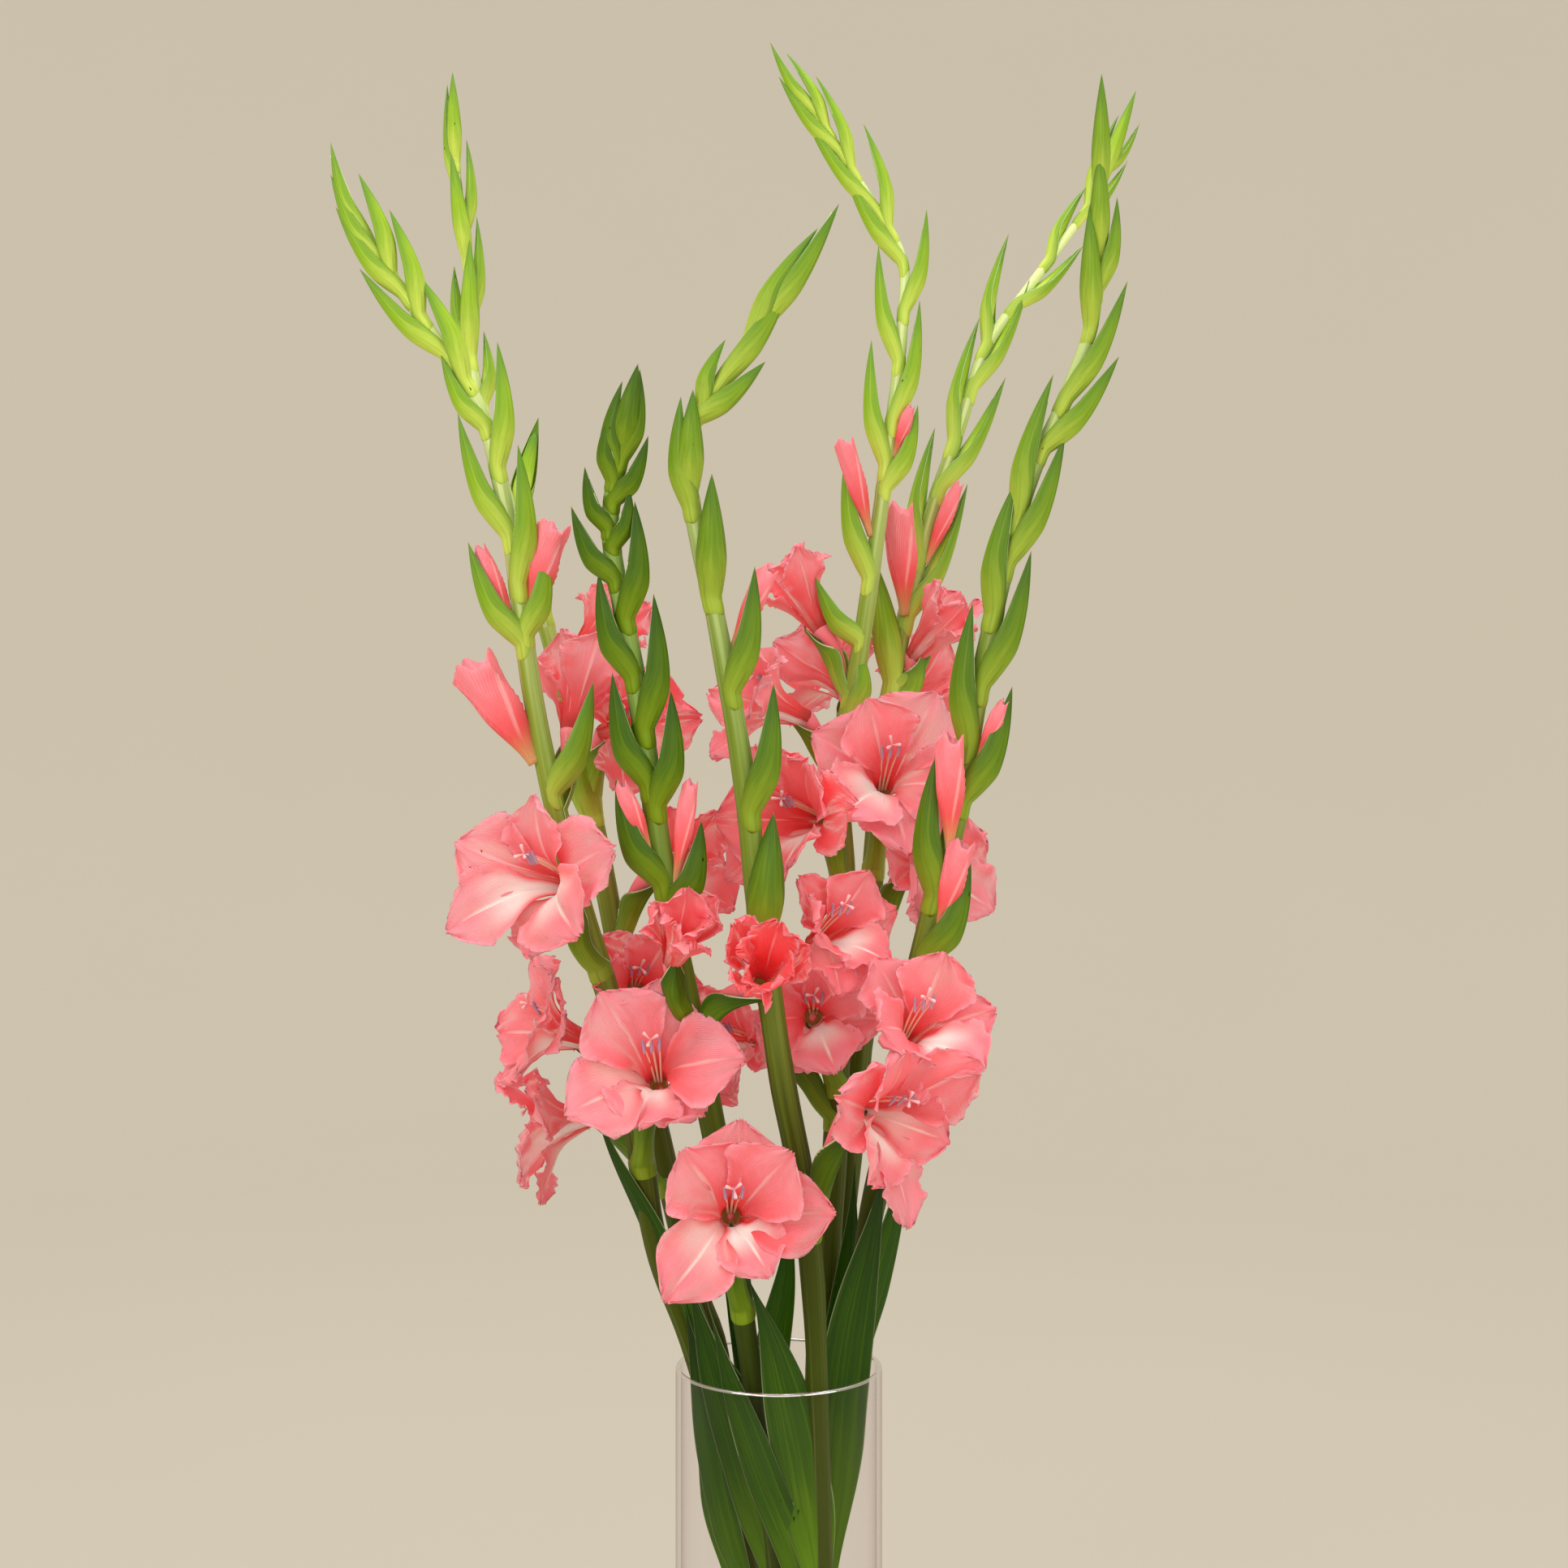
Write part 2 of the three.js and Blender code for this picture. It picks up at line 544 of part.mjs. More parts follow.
// How a petal departs from its floret's rule: degrees that it leans clockwise, and its length,
// opening and breadth against the others'.
function petalLook({ name, seed }, number) {
  const drawn = [7, 3, 11, 5].map((step) => vary(seed * step + number));
  const whorl = number % 2 === 0 ? -1 : 1;
  return PETAL_LOOKS[name]?.[number] ?? [
    (drawn[0] - 0.5) * 26,
    mix(0.9, 1.1, drawn[1]),
    1 + 0.1 * whorl + (drawn[2] - 0.5) * 0.3,
    mix(0.92, 1.14, drawn[3]) - 0.06 * whorl,
  ];
}

// One petal of a floret, numbered from its top one clockwise; even ones are the inner whorl.
function petal(floret, number, grow) {
  const { frame, throat, length, opening, roll, seed, rows } = floret;
  const [lean, longer, wider, broader] = petalLook(floret, number);
  const whorl = number % 2 === 0 ? -1 : 1;
  const middleAngle = roll + number * 2 * Math.PI / PETALS;
  const rootAngles = [-1, 0, 1].map((x) => middleAngle + x * Math.PI / PETALS);
  const reach = length * longer + grow;
  const breadth = PETAL_WIDTH * length * broader;
  const angle = opening * wider;
  const phase = vary(seed * 7 + number) * Math.PI * 2;
  const sheet = shaped(new THREE.PlaneGeometry(2, 1, 2, rows), (x, y) => {
    if (y < -0.499) {
      const rootAngle = rootAngles[Math.round(x) + 1];
      return throat.clone().addScaledVector(spoke(floret, rootAngle), RING_RADIUS);
    }
    const s = (y + 0.5) * 0.975;
    const outward = spoke(floret, middleAngle + THREE.MathUtils.degToRad(lean) * smooth(0.1, 0.6, s));
    const sideways = new THREE.Vector3().crossVectors(outward, frame.axis);
    const line = petalLine(s, reach, angle, RING_RADIUS);
    const half = petalHalfWidth(s, breadth, line.out) + grow;
    const bend = mix(1 / line.out, 0.009, smooth(0.35, 0.8, s)) * half * x;
    const wrap = half * x / (bend || 1);
    const normal = frame.axis.clone().multiplyScalar(Math.sin(line.angle));
    normal.addScaledVector(outward, -Math.cos(line.angle));
    const wave = RUFFLE * Math.abs(x) ** 2 * smooth(0.45, 0.85, s) * Math.sin(s * 11 + phase + 1.6 * x);
    const lift = (bend ? wrap * (1 - Math.cos(bend)) : 0) + wave - whorl * WHORL_STEP * smooth(0, 0.3, s);
    return throat.clone()
      .addScaledVector(frame.axis, line.forward)
      .addScaledVector(outward, line.out)
      .addScaledVector(sideways, bend ? wrap * Math.sin(bend) : 0)
      .addScaledVector(normal, lift);
  });
  const rootNormals = rootAngles.map((rootAngle) => spoke(floret, rootAngle).negate());
  return thickened(sheet, PETAL_THICKNESS + 2 * grow, rootNormals);
}

function tubeRadius(s, grow) {
  return mix(TUBE_ROOT_RADIUS + grow, RING_RADIUS + PETAL_THICKNESS / 2 + grow, s * s);
}

// The middle and the ring directions of a floret's tube at s, from the stem to the petals' ring.
function tubeRing(floret, s) {
  const { frame, throat, root, upward } = floret;
  const knee = root.clone().addScaledVector(upward, root.distanceTo(throat) * 0.55);
  const path = new THREE.QuadraticBezierCurve3(root, knee, throat);
  const along = s > 0.999 ? frame.axis : path.getTangent(s);
  const out = square(frame.top, along);
  return { middle: path.getPoint(s), along, out, across: new THREE.Vector3().crossVectors(out, along) };
}

// A floret's tube without its mouth, and the floor of its throat, with a corner under each petal edge.
function tube(floret, grow) {
  const sides = PETALS * 2;
  const inner = RING_RADIUS - PETAL_THICKNESS / 2 - grow;
  const onRing = (s, radius, x, z) => {
    const ring = tubeRing(floret, s);
    const angle = Math.atan2(x, z) + floret.roll;
    return ring.middle.clone()
      .addScaledVector(ring.along, s > 0 ? 0 : -grow)
      .addScaledVector(ring.out, Math.hypot(x, z) * radius * Math.cos(angle))
      .addScaledVector(ring.across, Math.hypot(x, z) * radius * Math.sin(angle));
  };
  const wall = shaped(new THREE.CylinderGeometry(1, 1, 1, sides, 2, true), (x, y, z) => {
    const s = Math.max(0, y + 0.5);
    return onRing(s, tubeRadius(s, grow), -x, z);
  });
  const foot = shaped(new THREE.CircleGeometry(1, sides).rotateX(Math.PI / 2), (x, y, z) => (
    onRing(0, tubeRadius(0, grow), -x, z)
  ));
  const floor = shaped(new THREE.CircleGeometry(1, sides).rotateX(-Math.PI / 2), (x, y, z) => (
    onRing(1, inner, -x, z)
  ));
  return [wall, foot, floor];
}

function floretOf(name, row, number, curves) {
  const [spike, rootHeight, throatPlace, turnRight, turnUp, roll, length, open, shown = "plain"] = row;
  const throat = seen(throatPlace);
  const { at, along } = stemAt(curves[spike], rootHeight);
  const out = square(throat.clone().sub(at).setZ(0), along);
  const root = at.clone().addScaledVector(out, stemRadius(at.z) + 2.6).addScaledVector(along, 6);
  return {
    name,
    spike,
    throat,
    root,
    foot: at,
    along,
    beside: new THREE.Vector3().crossVectors(out, along),
    upward: along.clone().addScaledVector(out, 0.25).normalize(),
    frame: facing(turnRight, turnUp),
    length,
    opening: 1.12 * open,
    roll: THREE.MathUtils.degToRad(roll),
    seed: number + 1,
    rows: PETAL_ROWS[shown],
  };
}

function unionOf(solids) {
  return solids.reduce((whole, next) => whole.add(next));
}

function bloom(floret, grow) {
  const petals = Array.from({ length: PETALS }, (_, number) => petal(floret, number, grow));
  return solid(mergeGeometries([...tube(floret, grow), ...petals].map(joined)));
}

// The sheath of a floret: a pointed, keeled boat that leaves the stem below the tube and runs along
// its outer side. Its rings lie level with the tube's own.
function spathe(floret, grow) {
  return solid(ringed(BRACT_SIDES, BRACT_STEPS, (s) => {
    const share = Math.max(0, 1.5 * s - 0.5);
    const ring = tubeRing(floret, share);
    const out = ring.out.clone().negate();
    if (s < 0.01) {
      const middle = floret.foot.clone().addScaledVector(floret.along, -SPATHE_DROP);
      const reach = SPATHE_KEEL + grow;
      return { middle, along: floret.along, out, half: SPATHE_ROOT + grow, front: reach, back: reach };
    }
    const atTip = s > 0.99;
    const narrow = atTip ? 0 : 1;
    const beyond = tubeRadius(share, 0) + SPATHE_ROOM;
    const middle = ring.middle.clone().addScaledVector(out, beyond);
    return {
      middle: middle.addScaledVector(ring.along, atTip ? SPATHE_TIP + grow : 0),
      along: ring.along,
      out,
      half: beyond * SPATHE_BREADTH * narrow + grow,
      front: SPATHE_KEEL * narrow + grow,
      back: SPATHE_BACK * narrow + grow,
    };
  }));
}

// A furled bud: a twisted spindle whose ridges are the edges of its petals.
function bud([spike, rootHeight, tipPlace, radius, mouth], curves, grow) {
  const { at } = stemSeenAt(curves[spike], rootHeight);
  const tip = seen(tipPlace);
  const root = at.clone().addScaledVector(tip.clone().sub(at).setZ(0).normalize(), stemRadius(at.z));
  const along = tip.clone().sub(root).normalize();
  const out = square(NEAR, along);
  const sideways = new THREE.Vector3().crossVectors(along, out);
  return solid(shaped(new THREE.CylinderGeometry(1, 1, 1, BUD_SIDES, BUD_STEPS), (x, y, z) => {
    const s = y + 0.5;
    const swell = mix(0.34, 1, smooth(0, 0.6, s)) * mix(1, mouth, smooth(0.72, 1, s));
    const around = Math.atan2(x, z);
    const ridge = 1 + 0.14 * Math.cos(4 * around + Math.PI * (BUD_STEPS * s));
    const size = Math.hypot(x, z) * (radius * swell * ridge + grow);
    const turn = around + 0.9 * s;
    return root.clone()
      .addScaledVector(along, root.distanceTo(tip) * s + (s - 0.5) * 2 * grow)
      .addScaledVector(sideways, size * Math.sin(turn))
      .addScaledVector(out, size * Math.cos(turn));
  }));
}

function largest(whole) {
  return whole.decompose().reduce((best, next) => (next.volume() > best.volume() ? next : best));
}

function geometryOf(whole) {
  const { vertProperties, triVerts } = whole.getMesh();
  const geometry = new THREE.BufferGeometry();
  geometry.setAttribute("position", new THREE.BufferAttribute(Float32Array.from(vertProperties), 3));
  return geometry.setIndex([...triVerts]);
}

function near(a, b) {
  const [p, q] = [a.boundingBox(), b.boundingBox()];
  return [0, 1, 2].every((i) => p.min[i] < q.max[i] && q.min[i] < p.max[i]);
}

function less(whole, cutters) {
  return cutters
    .filter((cutter) => near(whole, cutter))
    .reduce((left, cutter) => left.subtract(cutter), whole);
}

function turned(profile) {
  const points = profile.map(([radius, height]) => new THREE.Vector2(radius, height));
  return solid(new THREE.LatheGeometry(points, VASE_SIDES).rotateX(Math.PI / 2));
}

function glassVase() {
  const inside = VASE_RADIUS - VASE_WALL;
  return turned([
    [0, 0], [VASE_RADIUS - 1, 0], [VASE_RADIUS, 1], [VASE_RADIUS, VASE_HEIGHT],
    [inside, VASE_HEIGHT], [inside, VASE_BASE], [0, VASE_BASE],
  ]);
}

function waterIn(grownStems) {
  const radius = VASE_RADIUS - VASE_WALL - CLEARANCE;
  const bottom = VASE_BASE + CLEARANCE;
  const full = turned([[0, bottom], [radius, bottom], [radius, WATER_LEVEL], [0, WATER_LEVEL]]);
  return largest(less(full, grownStems));
}

function meshOf(whole, name, colour, roughness, opacity = 1) {
  const geometry = geometryOf(whole);
  geometry.computeVertexNormals();
  const material = new THREE.MeshStandardMaterial({
    color: colour,
    roughness,
    metalness: 0,
    opacity,
    transparent: opacity < 1,
  });
  const mesh = new THREE.Mesh(geometry, material);
  mesh.name = name;
  return mesh;
}

function bouquet() {
  const names = Object.keys(SPIKES);
  const curves = Object.fromEntries(names.map((name) => [name, stemCurve(SPIKES[name])]));
  const florets = Object.entries(FLORETS).map(([name, row], number) => {
    const floret = floretOf(name, row, number, curves);
    return { ...floret, curve: curves[floret.spike] };
  });
  const stems = names.map((name) => stem(curves[name], 0));
  const grownStems = names.map((name) => stem(curves[name], GROWN));

  const madeTwice = (name, make) => ({ name, whole: make(0), grown: make(GROWN) });
  const flowers = [
    ...Object.entries(BUDS).map(([name, row]) => madeTwice(name, (grow) => bud(row, curves, grow))),
    ...florets.map((floret) => madeTwice(floret.name, (grow) => bloom(floret, grow))),
  ];
  const cutFlowers = flowers.map(({ name, whole }, number) => {
    const before = flowers.slice(0, number).map((flower) => flower.grown);
    return { name, whole: largest(less(whole, [...grownStems, ...before])) };
  });

  const greens = (name, grow) => unionOf([
    ...SPIKES[name].bracts.map((row) => stemBract(curves[name], SPIKES[name].turn, row, grow)),
    ...florets.filter((floret) => floret.spike === name).map((floret) => spathe(floret, grow)),
    ...SPIKES[name].leaves.map((row) => leaf(row, grow)),
  ]);
  const grownGreens = names.map((name) => greens(name, GROWN));
  const grownFlowers = flowers.map((flower) => flower.grown);
  const spikes = names.map((name, number) => {
    const otherStems = grownStems.filter((_, other) => other !== number);
    const green = less(greens(name, 0), [...otherStems, ...grownFlowers, ...grownGreens.slice(0, number)]);
    return { name, whole: largest(green.add(stems[number])), colour: SPIKES[name].colour };
  });

  const group = new THREE.Group();
  group.add(meshOf(glassVase(), "vase", COLOURS.glass, 0.05, 0.35));
  group.add(meshOf(waterIn(grownStems), "water", COLOURS.water, 0.05, 0.3));
  spikes.forEach(({ name, whole, colour }) => group.add(meshOf(whole, name, colour, 0.45)));
  cutFlowers.forEach(({ name, whole }) => {
    group.add(meshOf(whole, name, name.startsWith("bud") ? COLOURS.coral : COLOURS.salmon, 0.6));
  });
  return group;
}

export default bouquet();
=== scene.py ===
from math import cos, exp, floor, pi, radians, sin, sqrt, tau

import bmesh
import bpy
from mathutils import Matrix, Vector


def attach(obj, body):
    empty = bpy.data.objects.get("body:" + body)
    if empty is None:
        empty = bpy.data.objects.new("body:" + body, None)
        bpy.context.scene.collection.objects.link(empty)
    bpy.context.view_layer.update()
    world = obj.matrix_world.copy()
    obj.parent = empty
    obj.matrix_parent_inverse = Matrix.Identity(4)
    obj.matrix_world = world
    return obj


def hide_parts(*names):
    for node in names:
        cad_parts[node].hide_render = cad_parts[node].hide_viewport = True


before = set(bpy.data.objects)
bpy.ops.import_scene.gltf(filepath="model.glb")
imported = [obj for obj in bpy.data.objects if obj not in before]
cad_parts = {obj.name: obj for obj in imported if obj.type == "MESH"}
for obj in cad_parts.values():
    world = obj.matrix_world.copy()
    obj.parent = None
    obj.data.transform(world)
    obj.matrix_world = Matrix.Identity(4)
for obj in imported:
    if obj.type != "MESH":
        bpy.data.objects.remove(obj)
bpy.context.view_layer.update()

MM = 0.001
EYE = Vector((3, -1220, 638))
SENSOR_WIDTH = 36
LENS = 48.1
UP = Vector((0, 0, 1))
NEAR = Vector((0, -1, 0))

# Sizes in millimetres, and shares of them. The main ones are the solids' own.
VASE_RADIUS = 60
VASE_HEIGHT = 300
VASE_WALL = 3
VASE_BASE = 10
RIM_ROUNDING = 1.4
WATER_LEVEL = 140
WATER_CLEARANCE = 0.3
STEM_FOOT_RADIUS = 5.6
STEM_WIDE_RADIUS = 7.4
STEM_TIP_RADIUS = 1.5
STEM_POINT_FROM = 0.93
SWELL_FROM = 260
SWELL_TO = 420
TAPER_FROM = 400
TAPER_TO = 1240
BRACT_HALF_WIDTH = 1.6
BRACT_STEM_SHARE = 1.3
BRACT_KEEL = 1.12
BRACT_BACK = 2.24
BRACT_BULGE = 1.4
BRACT_LENGTH = 56
BRACT_CLASP = 0.16
BRACT_ROOT_SINK = 0.3
BRACT_SKIN = 0.45
LEAF_SKIN = 0.7
SPATHE_CLASP = 0.2
SPATHE_TURN = 2.1
SPATHE_START = 4
SPATHE_ROOM = 1.4
SPATHE_TIP = 8
SPATHE_SKIN = 0.6
TUBE_ROOT_RADIUS = 3
TUBE_OFF_STEM = 2.6
TUBE_RISE = 6
TUBE_LEAN = 0.25
TUBE_KNEE = 0.55
RING_RADIUS = 5.2
THROAT_ANGLE = 0.16
THROAT_DEPTH = 9
PETALS = 6
PETAL_WIDTH = 0.37
PETAL_OPENING = 1.12
PETAL_FLAT_BEND = 0.009
PETAL_SKIN = 0.45
WHORL_STEP = 1.5
WHORL_GAP = 1.8
WAVE = 3.6
RUFFLE = 1.7
CRIMP = 1.1
BRIM_WAVE = 1.6
BRIM_CRIMP = 0.9
PLEAT = 0.8
GROOVE = 0.8

# How many steps each curve is drawn in.
ROUTE_STEPS = 16
PETAL_STEPS = 12
ROUND_STEPS = 128

# How dark each spike's green is, and the turn of its bracts. What stands above the vase's rim is
# given as the front view shows it, and seen() puts it at its depth.
SPIKES = {
    "left": [0.0, 0.35],
    "left_back": [0.0, -0.4],
    "short": [0.9, 0.3],
    "bent": [0.45, 0.45],
    "tall": [0.0, 0.2],
    "right_back": [0.0, -0.35],
    "right": [0.45, 0.4],
}

STEMS = {
    "left": [
        [22, 14, 12.2], [-48, 3, 300], [-71, -4, 368], [-90, -12, 480], [-123, -22, 594],
        [-143, -32, 688], [-158, -42, 792], [-175, -48, 858], [-206, -54, 906], [-241, -58, 958],
        [-260, -62, 1004],
    ],
    "left_back": [
        [-12, 20, 12.2], [-36, 28, 300], [-50, 34, 350], [-92, 48, 534], [-115, 56, 651],
        [-133, 64, 721], [-149, 74, 773], [-166, 84, 830], [-180, 92, 891], [-181, 100, 939],
        [-187, 106, 986], [-190, 112, 1044],
    ],
    "short": [
        [20, -20, 11.6], [-15, -32, 300], [-33, -44, 410], [-50, -54, 495], [-63, -62, 561],
        [-77, -72, 655], [-84, -78, 702], [-98, -84, 783], [-97, -88, 806], [-90, -94, 839],
        [-82, -98, 872],
    ],
    "bent": [
        [30, -38, 11.2], [22, -44, 300], [19, -48, 358], [12, -54, 414], [2, -60, 466], [-10, -66, 551],
        [-21, -72, 646], [-36, -78, 731], [-53, -84, 816], [-51, -86, 846], [-38, -86, 866],
        [-14, -86, 901], [12, -84, 939], [32, -82, 970],
    ],
    "tall": [
        [24, 30, 11.2], [26, 21, 300], [28, 22, 345], [33, 22, 433], [35, 22, 528], [38, 24, 580],
        [36, 26, 641], [49, 30, 726], [61, 34, 811], [72, 38, 906], [72, 40, 943], [47, 40, 988],
        [19, 40, 1033], [-2, 40, 1062],
    ],
    "right_back": [
        [-5, 40, 12.2], [33, 36, 300], [38, 42, 386], [47, 50, 480], [54, 58, 575], [61, 64, 669],
        [67, 70, 702], [85, 80, 783], [108, 92, 854], [120, 98, 891], [144, 106, 925], [165, 112, 953],
        [184, 116, 981], [206, 122, 1036],
    ],
    "right": [
        [1, -4, 12], [45, -5, 300], [52, -8, 377], [64, -14, 433], [83, -22, 537], [104, -28, 622],
        [120, -34, 712], [139, -40, 792], [152, -42, 830], [167, -44, 863], [182, -46, 906],
        [186, -48, 943], [187, -50, 1040],
    ],
}

# Each bract: the root's height, the tip's x and z, and the side that the keel faces.
BRACTS = {
    "left": [
        [634, -108, 698, "R"], [721, -181, 779, "L"], [726, -135, 778, "R"], [756, -152, 836, "R"],
        [784, -187, 854, "L"], [825, -164, 896, "R"], [847, -197, 889, "L"], [875, -210, 935, "R"],
        [890, -244, 938, "L"], [913, -227, 973, "R"], [925, -258, 974, "L"], [936, -245, 994, "R"],
        [955, -261, 1012, "L"], [943, -261, 993, "L"],
    ],
    "left_back": [
        [620, -122, 668, "F"], [736, -150, 800, "B"], [790, -140, 852, "B"], [858, -172, 902, "R"],
        [891, -189, 940, "L"], [886, -180, 956, "F"], [906, -176, 969, "R"], [943, -191, 1004, "F"],
        [958, -182, 1014, "R"], [984, -193, 1046, "L"], [1000, -190, 1053, "F"],
    ],
    "short": [
        [565, -45, 617, "R"], [580, -95, 642, "L"], [626, -63, 693, "R"], [638, -97, 703, "L"],
        [671, -73, 749, "R"], [701, -105, 762, "L"], [736, -84, 803, "R"], [758, -121, 800, "L"],
        [778, -87, 811, "R"], [788, -113, 823, "L"], [804, -76, 841, "R"], [816, -98, 855, "L"],
        [828, -81, 880, "R"], [822, -91, 873, "L"], [834, -82, 883, "F"],
    ],
    "bent": [
        [550, -3, 622, "F"], [622, -3, 697, "R"], [693, -14, 765, "R"], [748, -39, 819, "F"],
        [800, -57, 864, "L"], [809, -50, 868, "F"], [851, -8, 884, "R"], [858, -31, 897, "L"],
        [873, 10, 939, "R"], [896, 23, 962, "L"], [905, 35, 976, "R"],
    ],
    "tall": [
        [680, 47, 718, "R"], [721, 21, 759, "L"], [758, 39, 833, "L"], [810, 81, 859, "R"],
        [824, 54, 897, "L"], [849, 82, 920, "R"], [884, 58, 952, "L"], [913, 86, 973, "R"],
        [942, 37, 999, "L"], [962, 49, 1023, "R"], [972, 14, 1029, "L"], [996, 21, 1051, "R"],
        [1006, 0, 1050, "L"], [1020, 4, 1064, "R"], [1028, -5, 1070, "L"],
    ],
    "right_back": [
        [698, 56, 769, "F"], [696, 90, 717, "R"], [736, 110, 813, "R"], [769, 91, 846, "L"],
        [810, 132, 875, "R"], [836, 117, 910, "L"], [868, 146, 932, "R"], [892, 134, 959, "L"],
        [916, 178, 953, "R"], [943, 179, 986, "L"], [968, 203, 1001, "R"], [974, 198, 1028, "L"],
        [995, 210, 1023, "R"], [986, 208, 1042, "F"],
    ],
    "right": [
        [535, 112, 592, "R"], [574, 91, 654, "L"], [629, 136, 695, "R"], [662, 113, 744, "L"],
        [696, 147, 774, "R"], [738, 138, 815, "L"], [768, 167, 843, "R"], [795, 160, 877, "L"],
        [834, 198, 887, "R"], [863, 203, 931, "R"], [905, 181, 976, "F"], [926, 197, 980, "R"],
        [948, 187, 1010, "F"], [982, 188, 1052, "F"],
    ],
}

# Each leaf: its width, then its points.
LEAVES = {
    "left": [
        [22, [-16, 8, 170], [-42, -4, 300], [-72, -10, 376], [-98, -16, 428], [-112, -20, 470]],
        [18, [-12, 7, 152], [-28, -22, 205], [-40, -20, 258], [-47, -10, 300], [-56, -8, 346]],
    ],
    "left_back": [
        [20, [-28, 26, 160], [-36, 16, 206], [-40, 6, 262], [-43, 6, 300], [-54, 10, 336]],
        [22, [-25, 28, 166], [-14, 34, 240], [-4, 38, 300], [4, 44, 352], [8, 52, 404]],
    ],
    "short": [
        [24, [3, -25, 165], [-12, -30, 222], [-36, -27, 300], [-48, -25, 334], [-56, -22, 362]],
        [20, [8, -23, 150], [10, -44, 200], [-8, -50, 250], [-26, -46, 300], [-42, -44, 340]],
    ],
    "bent": [
        [30, [26, -42, 166], [17, -47, 232], [3, -46, 300], [-9, -44, 328], [-20, -40, 356]],
    ],
    "tall": [
        [22, [24, 24, 164], [-2, 6, 238], [-32, -8, 300], [-42, -12, 322], [-50, -14, 344]],
        [24, [27, 24, 178], [36, 12, 300], [40, 6, 350], [43, 2, 394], [44, 0, 424]],
    ],
    "right_back": [
        [24, [14, 38, 168], [-4, 26, 240], [-18, 14, 300], [-26, 8, 330], [-34, 4, 360]],
        [20, [18, 38, 176], [26, 38, 300], [34, 62, 400], [52, 84, 490], [66, 92, 562]],
    ],
    "right": [
        [32, [28, -12, 172], [38, -22, 300], [46, -22, 340], [56, -20, 386], [64, -16, 430]],
        [24, [30, -2, 186], [42, 8, 300], [56, 14, 346], [70, 16, 398], [80, 16, 452]],
    ],
}

# Each floret: its spike, the height of its foot, its throat, how far it faces right and up and is
# rolled, in degrees, its petals' length, and how far they open.
FLORETS = {
    "front": ["short", 348, [-28, -72, 386], 4, 14, -70, 66, 0.95],
    "front_left": ["left", 424, [-70, -40, 462], -4, 26, -50, 67, 0.92],
    "front_right": ["bent", 396, [42, -76, 449], 42, -2, -10, 66, 0.85],
    "upper_right": ["right", 442, [72, -42, 486], 22, 28, 24, 62, 0.85],
    "centre": ["short", 494, [-12, -78, 520], 8, 26, 30, 50, 0.3],
    "short_half": ["short", 512, [-62, -72, 534], 20, 44, 0, 44, 0.3],
    "centre_right": ["tall", 508, [20, -14, 545], 34, 22, 25, 57, 0.75],
    "middle": ["right_back", 592, [60, 32, 632], 6, 22, -15, 70, 0.94],
    "middle_left": ["tall", 580, [28, 0, 616], -34, 4, 30, 72, 0.7],
    "left": ["left", 538, [-117, -34, 578], -38, 10, 0, 68, 0.95],
    "tall_low": ["tall", 466, [20, -4, 502], 0, 8, 30, 58, 0.85],
    "left_low": ["left_back", 448, [-110, 38, 488], -66, 18, 20, 66, 0.85],
    "left_lowest": ["left_back", 404, [-104, 44, 446], -84, -10, 0, 64, 0.78],
    "left_upper": ["left", 628, [-122, -22, 668], 168, 56, 25, 58, 0.5],
    "back_top": ["left_back", 684, [-117, 76, 716], 130, 40, 15, 50, 0.4],
    "back_left": ["left_back", 630, [-102, 42, 668], 40, 4, 20, 60, 0.8],
    "back_low": ["left_back", 546, [-76, 40, 584], 58, 12, 40, 58, 0.8],
    "tall_side": ["tall", 644, [16, 22, 676], -66, 22, 20, 60, 0.68],
    "tall_back": ["tall", 652, [40, 50, 690], -146, 34, 0, 58, 0.65],
    "tall_top": ["tall", 694, [25, 36, 728], -112, 58, 0, 50, 0.35],
    "right_low": ["right_back", 548, [74, 34, 592], 34, -4, 0, 58, 0.75],
    "right_back": ["right_back", 636, [74, 96, 680], 150, 40, 30, 52, 0.5],
    "right_top": ["right_back", 688, [78, 70, 712], 58, 46, 0, 52, 0.25],
    "behind_centre": ["tall", 446, [-10, 20, 486], -40, 6, 10, 56, 0.8],
    "behind_left": ["left_back", 486, [-84, 30, 518], 10, 10, 25, 52, 0.7],
}

# Each bud: its spike, the height of its foot, its tip, its radius, and its mouth's share of that.
BUDS = {
    "left_wide": ["left", 650, [-178, -40, 708], 12, 1.15],
    "left": ["left", 730, [-174, -42, 776], 5, 0.7],
    "left_right": ["left", 734, [-131, -40, 788], 8.6, 1.2],
    "short_left": ["short", 600, [-92, -80, 638], 5, 0.7],
    "short_right": ["short", 580, [-51, -74, 639], 5.4, 0.75],
    "bent": ["bent", 716, [-6, -66, 762], 6, 0.9],
    "tall": ["tall", 782, [38, 20, 838], 6, 1],
    "tall_right": ["tall", 828, [77, 28, 858], 4, 0.6],
    "right_back": ["right_back", 766, [105, 74, 813], 5, 0.6],
    "right_opening": ["right_back", 736, [70, 52, 799], 9.4, 0.95],
    "right": ["right", 600, [100, -46, 665], 8.2, 0.95],
    "right_tip": ["right", 650, [131, -40, 686], 4.6, 0.6],
    "right_low": ["right", 552, [107, -36, 604], 7.4, 1],
}

